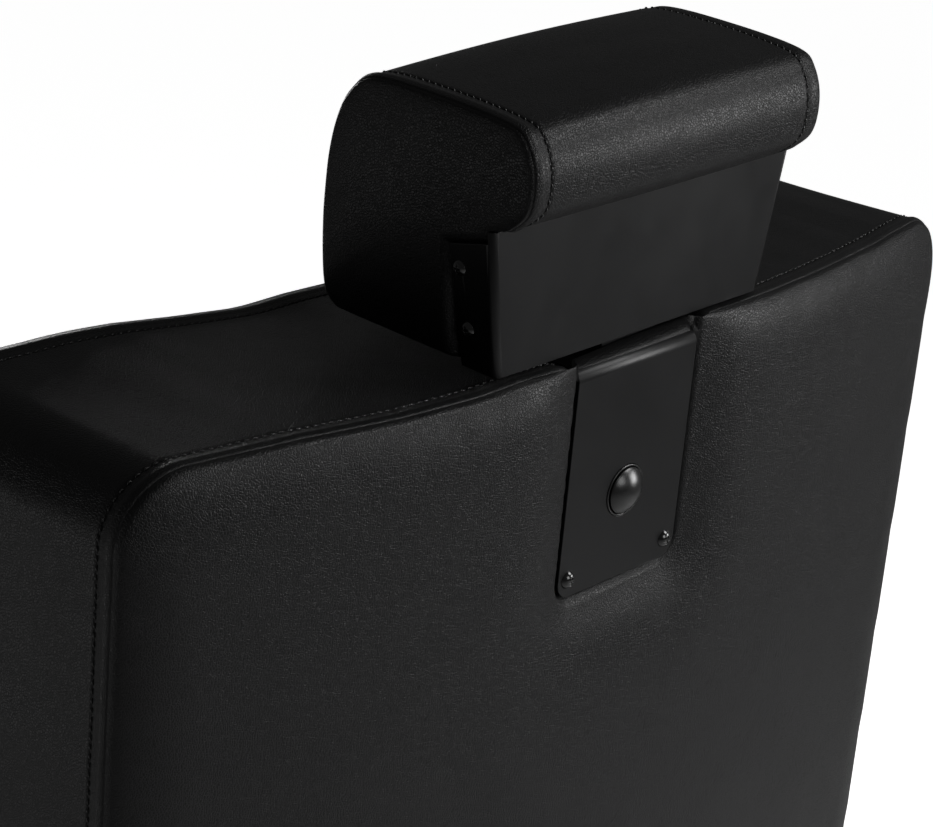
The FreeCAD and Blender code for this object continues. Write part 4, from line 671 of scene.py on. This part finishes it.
# Headrest pad: the outline is its side view, and the depth runs across the chair
PAD_SHARES = (
    (0.93, 0.0), (0.985, 0.07), (0.998, 0.31), (0.985, 0.6), (0.948, 0.79), (0.887, 0.91), (0.78, 0.985),
    (0.46, 1.0), (0.13, 0.985), (0.045, 0.93), (0.004, 0.82), (0.015, 0.68), (0.10, 0.585),
)
PAD_BOTTOM, PAD_TOP = 12.0, 135.2
PAD_REAR, PAD_DEPTH = 13.8, 130.6
PAD_STEP, PAD_STEP_HIGH = -9.6, 82.9
PAD_HALF = 100.5
PAD_FULL = 2.0
PAD_OFF_CENTRE = 2.2
PAD_LEAN = 3.2
BRACKET_LOW, BRACKET_HIGH = 8.0, 82.0
BRACKET_NARROW, BRACKET_WIDE = 199.0, 224.0
BRACKET_REAR = -5.8
# The bracket's flanges: their depth at the bottom, how much deeper they are higher up, and their top edge
FLANGE_DEPTH, FLANGE_DEEPER, FLANGE_RISE = 22.0, 4.6, 60.0
FLANGE_TOP, FLANGE_TOP_REAR, FLANGE_SLOPE = 76.0, -8.8, 0.34
FLANGE_GAP, FLANGE_EASE = 0.8, 6.0
BRACKET_INSIDE = 3.5


def spline(points, per=14):
    """A smooth cubic line through points, with a number of steps between each two."""
    points = np.array(points, float)
    ends = np.vstack([2 * points[0] - points[1], points, 2 * points[-1] - points[-2]])
    out = []
    for k in range(1, len(ends) - 2):
        p0, p1, p2, p3 = ends[k - 1:k + 3]
        for t in np.linspace(0, 1, per, endpoint=False):
            out.append(0.5 * (2 * p1 + (p2 - p0) * t + (2 * p0 - 5 * p1 + 4 * p2 - p3) * t ** 2
                              + (3 * p1 - p0 - 3 * p2 + p3) * t ** 3))
    out.append(points[-1])
    return np.array(out)


def eased(path, reach):
    """A closed, evenly spaced path with its corners eased."""
    kernel = np.hanning(reach * 2 + 3)[1:-1]
    kernel /= kernel.sum()
    longer = np.concatenate([path[-reach:], path, path[:reach]])
    return np.stack([np.convolve(longer[:, i], kernel, "valid") for i in (0, 1)], -1)


def pad_outline():
    """The pad's side view, as Y and Z in the back's frame, with a step for the bracket's plate."""
    points = [(PAD_REAR - d * PAD_DEPTH, PAD_BOTTOM + h * (PAD_TOP - PAD_BOTTOM)) for d, h in PAD_SHARES]
    curve = spline(points)
    step = [(PAD_STEP, PAD_STEP_HIGH), (PAD_STEP, PAD_BOTTOM)]
    path = np.vstack([curve, step, curve[:1]])
    soft = eased(resample(path, 560), 4)
    return resample(np.vstack([soft, soft[:1]]), 560)


def bracket_half(z):
    """Half the bracket's width at a height."""
    spread = (BRACKET_WIDE - BRACKET_NARROW) * (z - BRACKET_LOW) / (BRACKET_HIGH - BRACKET_LOW)
    return (BRACKET_NARROW + spread) / 2


def pad_half(y, z):
    """Half the distance between the pad's seams: wider towards the top."""
    u = np.clip((z - 7.0) / 133.0, 0, 1)
    return PAD_HALF + 6.5 * u ** 0.6 + 4.8 * u * (1 - u)


def pad_sunk(side, y, z, d):
    """Keeps the pad's ends clear of the bracket's flanges."""
    front = BRACKET_REAR - FLANGE_DEPTH - FLANGE_DEEPER * (z - BRACKET_LOW) / FLANGE_RISE
    roof = FLANGE_TOP + (y - FLANGE_TOP_REAR) * FLANGE_SLOPE
    pull = soft_step(np.maximum(front - y, z - roof) - FLANGE_GAP, FLANGE_EASE)
    d = d + PAD_OFF_CENTRE
    size = np.abs(d)
    d = np.sign(d) * (size + (np.minimum(size, bracket_half(z) - BRACKET_INSIDE) - size) * pull)
    return np.stack([y, z, d], -1) if side == "box" else d


class Pad(Cushion):
    """The headrest's pad, whose boxing is the wrap round it."""

    def boxing_point(self, index, v):
        """The wrap stands fuller in its middle, except where the bracket holds it."""
        q = self.outline[index]
        free = np.clip((q[:, 1] - 84.0) / 12.0, 0, 1) * (q[:, 0] > -60) + (q[:, 0] <= -60)
        d0 = self.base[0](q[:, 0], q[:, 1])
        share = np.clip(v / (2 * d0), 0, 1)
        return super().boxing_point(index, v, np.sin(math.pi * share) * PAD_FULL * np.clip(free, 0, 1))


pad = Pad(
    pad_outline(), (pad_half, lambda y, z: -pad_half(y, z)), roll=24.0, crown=(2.2, 2.2),
    pinch=2.8, width=0.75, sunk=pad_sunk, box_sink=0.0,
)


def to_pad(ring):
    """The pad's top leans a little to the far side above its bracket, as the photographed one does."""
    lean = (108.0 - ring[:, 2]) / 216.0 * PAD_LEAN * np.clip((ring[:, 1] - 84.0) / 52.0, 0, 1)
    return back_place(np.stack([ring[:, 2], ring[:, 0], ring[:, 1] + lean], -1))


upholster("headrest_upholstery", pad, panel_stages(46.0, 2.6), to_pad, "headrest", "headrest_pad")

for label, v in (("left", STITCH_REACH), ("right", -STITCH_REACH)):
    ring, out = seam_stitches(pad, v)
    # The bracket covers the line here
    keep = ~((ring[:, 1] < 86) & (ring[:, 0] > -30))
    order = np.roll(np.arange(len(keep) - 1), -int(np.argmin(keep)))
    run = np.array([k for k in order if keep[k]])
    stitches("headrest_stitching_" + label, ring[run], out[run], "headrest", pitch=3.9, place=to_pad)

# Seat cushion and arm pads
SEAT_HALF, SEAT_FRONT, SEAT_REAR, SEAT_CORNER = 262.0, -295.0, 205.0, 45.0
SEAT_SEAM, SEAT_UNDER = 463.5, 385.4
ARM_X = 292.0
ARM_HALF, ARM_FRONT, ARM_REAR, ARM_CORNER = 38.0, -235.0, 205.0, 29.0
ARM_SEAM, ARM_UNDER = 690.0, 660.4
ARM_STITCH = 7.5


def level(height):
    """The depth of a seam that lies level."""
    return lambda a, b: np.full(len(a), height)


seat = Cushion(
    rounded_outline(SEAT_HALF, SEAT_FRONT, SEAT_REAR, SEAT_CORNER, 760),
    (level(SEAT_SEAM), level(SEAT_UNDER)), roll=42.0, crown=(26.0, 0.0), box_sink=-2.0,
)
upholster("seat_upholstery", seat, panel_stages(120.0, 4.0), row_place, "seat", "seat_cushion")
ring, out = seam_stitches(seat, STITCH_REACH)
stitches("seat_stitching", ring, out, "seat", place=row_place)

for side, sign in (("left", 1.0), ("right", -1.0)):
    arm = Cushion(
        rounded_outline(ARM_HALF, ARM_FRONT, ARM_REAR, ARM_CORNER, 420), (level(ARM_SEAM), level(ARM_UNDER)),
        roll=28.0, crown=(15.0, 0.0), box_sink=-1.2, pinch=1.2, width=1.5, stitch=ARM_STITCH,
    )

    def to_arm(ring, sign=sign):
        """Places an arm pad's points, which lie about the chair's middle, at its own side."""
        return row_place(ring + np.array([sign * ARM_X, 0.0, 0.0]))

    upholster("arm_upholstery_" + side, arm, panel_stages(30.0, 3.0), to_arm, "seat", "arm_pad_" + side)
    ring, out = seam_stitches(arm, ARM_STITCH)
    stitches("arm_stitching_" + side, ring, out, "seat", place=to_arm)

# Tubes: smooth bends in place of the frame's faceted ones
TUBE_RADIUS = 12.5
TUBE_POINTS = 40
BEND_STEPS = 12
ARM_POST_FRONT, ARM_POST_REAR = -150, 165
ARM_FOOT, ARM_RAIL = 330.05, 639.5
ARM_BEND, FOOT_BEND = 55.0, 50.0
FOOT_SIDE = [(150, -178, 317.55), (150, -345, 317.55), (150, -432, 165)]


def tube(name, corners, bend, node_name):
    """A chromed tube of the seat along corners in millimetres, each rounded by a bend radius."""
    corners = [np.array(c, float) for c in corners]
    line = [corners[0]]
    for a, b, c in zip(corners, corners[1:], corners[2:]):
        u, w = (a - b) / np.linalg.norm(a - b), (c - b) / np.linalg.norm(c - b)
        half = math.acos(np.clip(u @ w, -1, 1)) / 2
        back_off = bend / math.tan(half)
        centre = b + (u + w) / np.linalg.norm(u + w) * bend / math.sin(half)
        start, end = b + u * back_off - centre, b + w * back_off - centre
        total = math.pi - 2 * half
        for t in np.linspace(0, 1, BEND_STEPS + 1):
            arc = (start * math.sin((1 - t) * total) + end * math.sin(t * total)) / math.sin(total)
            line.append(centre + arc)
    line.append(corners[-1])
    line = np.array(line)
    rings = []
    side = None
    for k, p in enumerate(line):
        ahead = line[min(k + 1, len(line) - 1)] - line[max(k - 1, 0)]
        ahead /= np.linalg.norm(ahead)
        if side is None:
            side = np.cross(ahead, [0.3, 0.9, 0.31])
        side = side - ahead * (side @ ahead)
        side /= np.linalg.norm(side)
        up = np.cross(ahead, side)
        a = np.linspace(0, 2 * math.pi, TUBE_POINTS, endpoint=False)
        rings.append(row_place(p + TUBE_RADIUS * (np.cos(a)[:, None] * side + np.sin(a)[:, None] * up)))
    verts, faces = skin(rings)
    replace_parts(add_mesh(name, verts, faces, "seat", FINISH["chrome"]), node_name)


for side, sign in (("left", 1.0), ("right", -1.0)):
    x = sign * ARM_X
    corners = [(x, ARM_POST_FRONT, ARM_FOOT), (x, ARM_POST_FRONT, ARM_RAIL),
               (x, ARM_POST_REAR, ARM_RAIL), (x, ARM_POST_REAR, ARM_FOOT)]
    tube("arm_tube_" + side, corners, ARM_BEND, "arm_frame_" + side)
corners = FOOT_SIDE + [(-x, y, z) for x, y, z in reversed(FOOT_SIDE)]
tube("foot_tube", corners, FOOT_BEND, "footrest_tube")


# Round heads: smooth domes over the frame's plain ones
HEAD_POINTS = 72
HEAD_SPREAD = np.concatenate([np.linspace(0.03, 0.9, 30), [0.94, 0.97, 0.99, 1.0]])
RECESS_DEPTH = 1.1
RECESS_REACH = 0.52
RIM_START, RIM_DROP = 0.985, 0.08
SKIN_GAP = 0.05


def head(name, centre, axis, radius, height, body, finish, skirt=0.0, cross=0.0):
    """A dome about an axis, in the back's frame, with a cross recess of a given arm width if asked."""
    axis = np.array(axis, float)
    axis /= np.linalg.norm(axis)
    side = np.cross(axis, [0.0, 0.0, 1.0])
    side /= np.linalg.norm(side)
    up = np.cross(axis, side)
    ball = (radius ** 2 + height ** 2) / (2 * height)
    turn = np.linspace(0, 2 * math.pi, HEAD_POINTS, endpoint=False)
    around = np.cos(turn)[:, None] * side + np.sin(turn)[:, None] * up
    rings = []
    for r in HEAD_SPREAD * radius:
        lift = np.full(HEAD_POINTS, skirt + height - ball + np.sqrt(ball ** 2 - r ** 2))
        if r > radius * RIM_START:
            lift = lift - RIM_DROP
        if cross:
            u, w = np.abs(r * np.cos(turn)), np.abs(r * np.sin(turn))
            inside = (np.minimum(u, w) < cross) & (np.maximum(u, w) < radius * RECESS_REACH)
            lift = lift - RECESS_DEPTH * inside
        rings.append(centre + r * around + lift[:, None] * axis)
    rings.append(centre + (radius + 0.02) * around)
    verts, faces = skin([back_place(r) for r in rings])
    add_mesh(name, verts, faces, body, FINISH[finish])


# Each head's radius and height
BUTTON_DOME, PLATE_SCREW, BRACKET_SCREW = (12.25, 4.7), (4.8, 2.8), (3.9, 2.3)
PLATE_SCREW_X, PLATE_SCREW_Z = 37.6, -112.2
BRACKET_SCREW_PLACES = ((-23.0, 28.5), (-27.0, 58.5))
head("button_cap", np.array([0, 0.4, BUTTON_HEIGHT]), (0, 1, 0), *BUTTON_DOME, "button", "button_black",
     skirt=1.0)
for k, x in enumerate((-PLATE_SCREW_X, PLATE_SCREW_X)):
    head("plate_screw_head_%d" % k, np.array([x, SKIN_GAP, PLATE_SCREW_Z]), (0, 1, 0), *PLATE_SCREW, "back",
         "black_screw", cross=0.62)
rise = BRACKET_HIGH - BRACKET_LOW
slope = bracket_half(BRACKET_HIGH) - bracket_half(BRACKET_LOW)
for sign in (-1, 1):
    out_way = np.array([sign * rise, 0, -slope]) / math.hypot(rise, slope)
    for k, (y, z) in enumerate(BRACKET_SCREW_PLACES):
        head("bracket_screw_head_%s%d" % ("left" if sign > 0 else "right", k),
             np.array([sign * bracket_half(z), y, z]) + out_way * SKIN_GAP, out_way, *BRACKET_SCREW,
             "headrest", "black_screw", cross=0.5)

# The button's spring: a coil between the sleeve and the cap
COIL_INNER, COIL_OUTER, COIL_SEAT = -5.5, -1.3, -0.8
COIL_TURNS, COIL_STEPS = 3, 28
COIL_RADIUS, WIRE_RADIUS = 6.6, 0.45


def coil_rings():
    """Rings of points round the wire of a coil along Y in the back's frame."""
    share = np.linspace(0, 1, COIL_TURNS * COIL_STEPS)
    angle = 2 * math.pi * COIL_TURNS * share
    y = COIL_INNER + (COIL_OUTER - COIL_INNER) * share
    line = np.stack([COIL_RADIUS * np.cos(angle), y, BUTTON_HEIGHT + COIL_RADIUS * np.sin(angle)], -1)
    turn = np.linspace(0, 2 * math.pi, 8, endpoint=False)
    rings = []
    for k, p in enumerate(line):
        ahead = line[min(k + 1, len(line) - 1)] - line[max(k - 1, 0)]
        ahead /= np.linalg.norm(ahead)
        away = np.array([math.cos(angle[k]), 0.0, math.sin(angle[k])])
        up = np.cross(ahead, away)
        around = np.cos(turn)[:, None] * away + np.sin(turn)[:, None] * up
        rings.append(back_place(p + WIRE_RADIUS * around))
    return rings


verts, faces = skin(coil_rings())
spring = add_mesh("spring_coil", verts, faces, "button", FINISH["bright_steel"])
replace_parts(spring, "button_spring")
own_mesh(spring)

# Camera, solved from the lock plate's corners and the seams
camera = bpy.data.objects.new("camera", bpy.data.cameras.new("camera"))
bpy.context.scene.collection.objects.link(camera)
camera.location = (1.0284, 1.2878, 1.4302)
camera.rotation_mode = "QUATERNION"
camera.rotation_quaternion = Vector((-0.6979, -0.6384, -0.3248)).to_track_quat("-Z", "Y")
camera.data.lens = 110.0
camera.data.sensor_width = 36.0
camera.data.clip_start = 0.05
bpy.context.scene.camera = camera

# Light: a dim world with lamps, and white surroundings to the camera
WORLD_LIGHT = 0.03
GLOSS_SHARE = 0.06
FLOOR_GLOW = 0.96


def math_node(tree, operation, first, second):
    """A math node on two sockets, or on a socket and a number."""
    n = tree.nodes.new("ShaderNodeMath")
    n.operation = operation
    tree.links.new(first, n.inputs[0])
    if isinstance(second, float):
        n.inputs[1].default_value = second
    else:
        tree.links.new(second, n.inputs[1])
    return n.outputs[0]


def seen_share(tree):
    """How white the surroundings are to a ray: full to the camera, and a share of it to gloss and glass."""
    path = tree.nodes.new("ShaderNodeLightPath")
    clear = math_node(tree, "MAXIMUM", path.outputs["Is Glossy Ray"], path.outputs["Is Transmission Ray"])
    share = math_node(tree, "MULTIPLY", clear, GLOSS_SHARE)
    return math_node(tree, "MAXIMUM", path.outputs["Is Camera Ray"], share)


world = bpy.data.worlds.new("studio")
bpy.context.scene.world = world
world.use_nodes = True
tree = world.node_tree
tree.nodes.clear()
out = tree.nodes.new("ShaderNodeOutputWorld")
white = tree.nodes.new("ShaderNodeBackground")
white.inputs["Color"].default_value = (1, 1, 1, 1)
dim = tree.nodes.new("ShaderNodeBackground")
dim.inputs["Color"].default_value = (1, 1, 1, 1)
dim.inputs["Strength"].default_value = WORLD_LIGHT
choose = tree.nodes.new("ShaderNodeMixShader")
tree.links.new(seen_share(tree), choose.inputs["Fac"])
tree.links.new(dim.outputs[0], choose.inputs[1])
tree.links.new(white.outputs[0], choose.inputs[2])
tree.links.new(choose.outputs[0], out.inputs["Surface"])

# Floor: white to the camera, with the chair's shadow kept
bpy.ops.mesh.primitive_plane_add(size=40.0, location=(0, 0, 0))
floor = bpy.context.object
floor.name = "floor"
ground = bpy.data.materials.new("floor")
ground.use_nodes = True
tree = ground.node_tree
tree.nodes.clear()
out = tree.nodes.new("ShaderNodeOutputMaterial")
matt = tree.nodes.new("ShaderNodeBsdfDiffuse")
matt.inputs["Color"].default_value = (0.8, 0.8, 0.8, 1)
glow = tree.nodes.new("ShaderNodeEmission")
tree.links.new(math_node(tree, "MULTIPLY", seen_share(tree), FLOOR_GLOW), glow.inputs["Strength"])
both = tree.nodes.new("ShaderNodeAddShader")
tree.links.new(matt.outputs[0], both.inputs[0])
tree.links.new(glow.outputs[0], both.inputs[1])
tree.links.new(both.outputs[0], out.inputs["Surface"])
floor.data.materials.append(ground)

AIM = Vector((0.0, 0.46, 1.0))


def area_light(name, place, power, size):
    """A square lamp that faces the headrest."""
    data = bpy.data.lights.new(name, "AREA")
    data.energy = power
    data.size = size
    obj = bpy.data.objects.new(name, data)
    obj.location = place
    obj.rotation_mode = "QUATERNION"
    obj.rotation_quaternion = (AIM - Vector(place)).to_track_quat("-Z", "Y")
    bpy.context.scene.collection.objects.link(obj)


LAMPS = (
    ("key", (-1.2, 1.5, 1.1), 15.0, 0.6),
    ("upper", (-0.9, 1.3, 1.9), 11.0, 0.6),
    ("rear", (0.0, 2.8, 1.6), 14.0, 1.0),
    ("low", (1.5, -0.6, 0.5), 3.3, 0.8),
    ("front", (-1.0, -2.2, 0.9), 25.0, 1.2),
)
for lamp_name, lamp_place, lamp_power, lamp_size in LAMPS:
    area_light(lamp_name, lamp_place, lamp_power, lamp_size)

bpy.context.scene.view_settings.view_transform = "Standard"
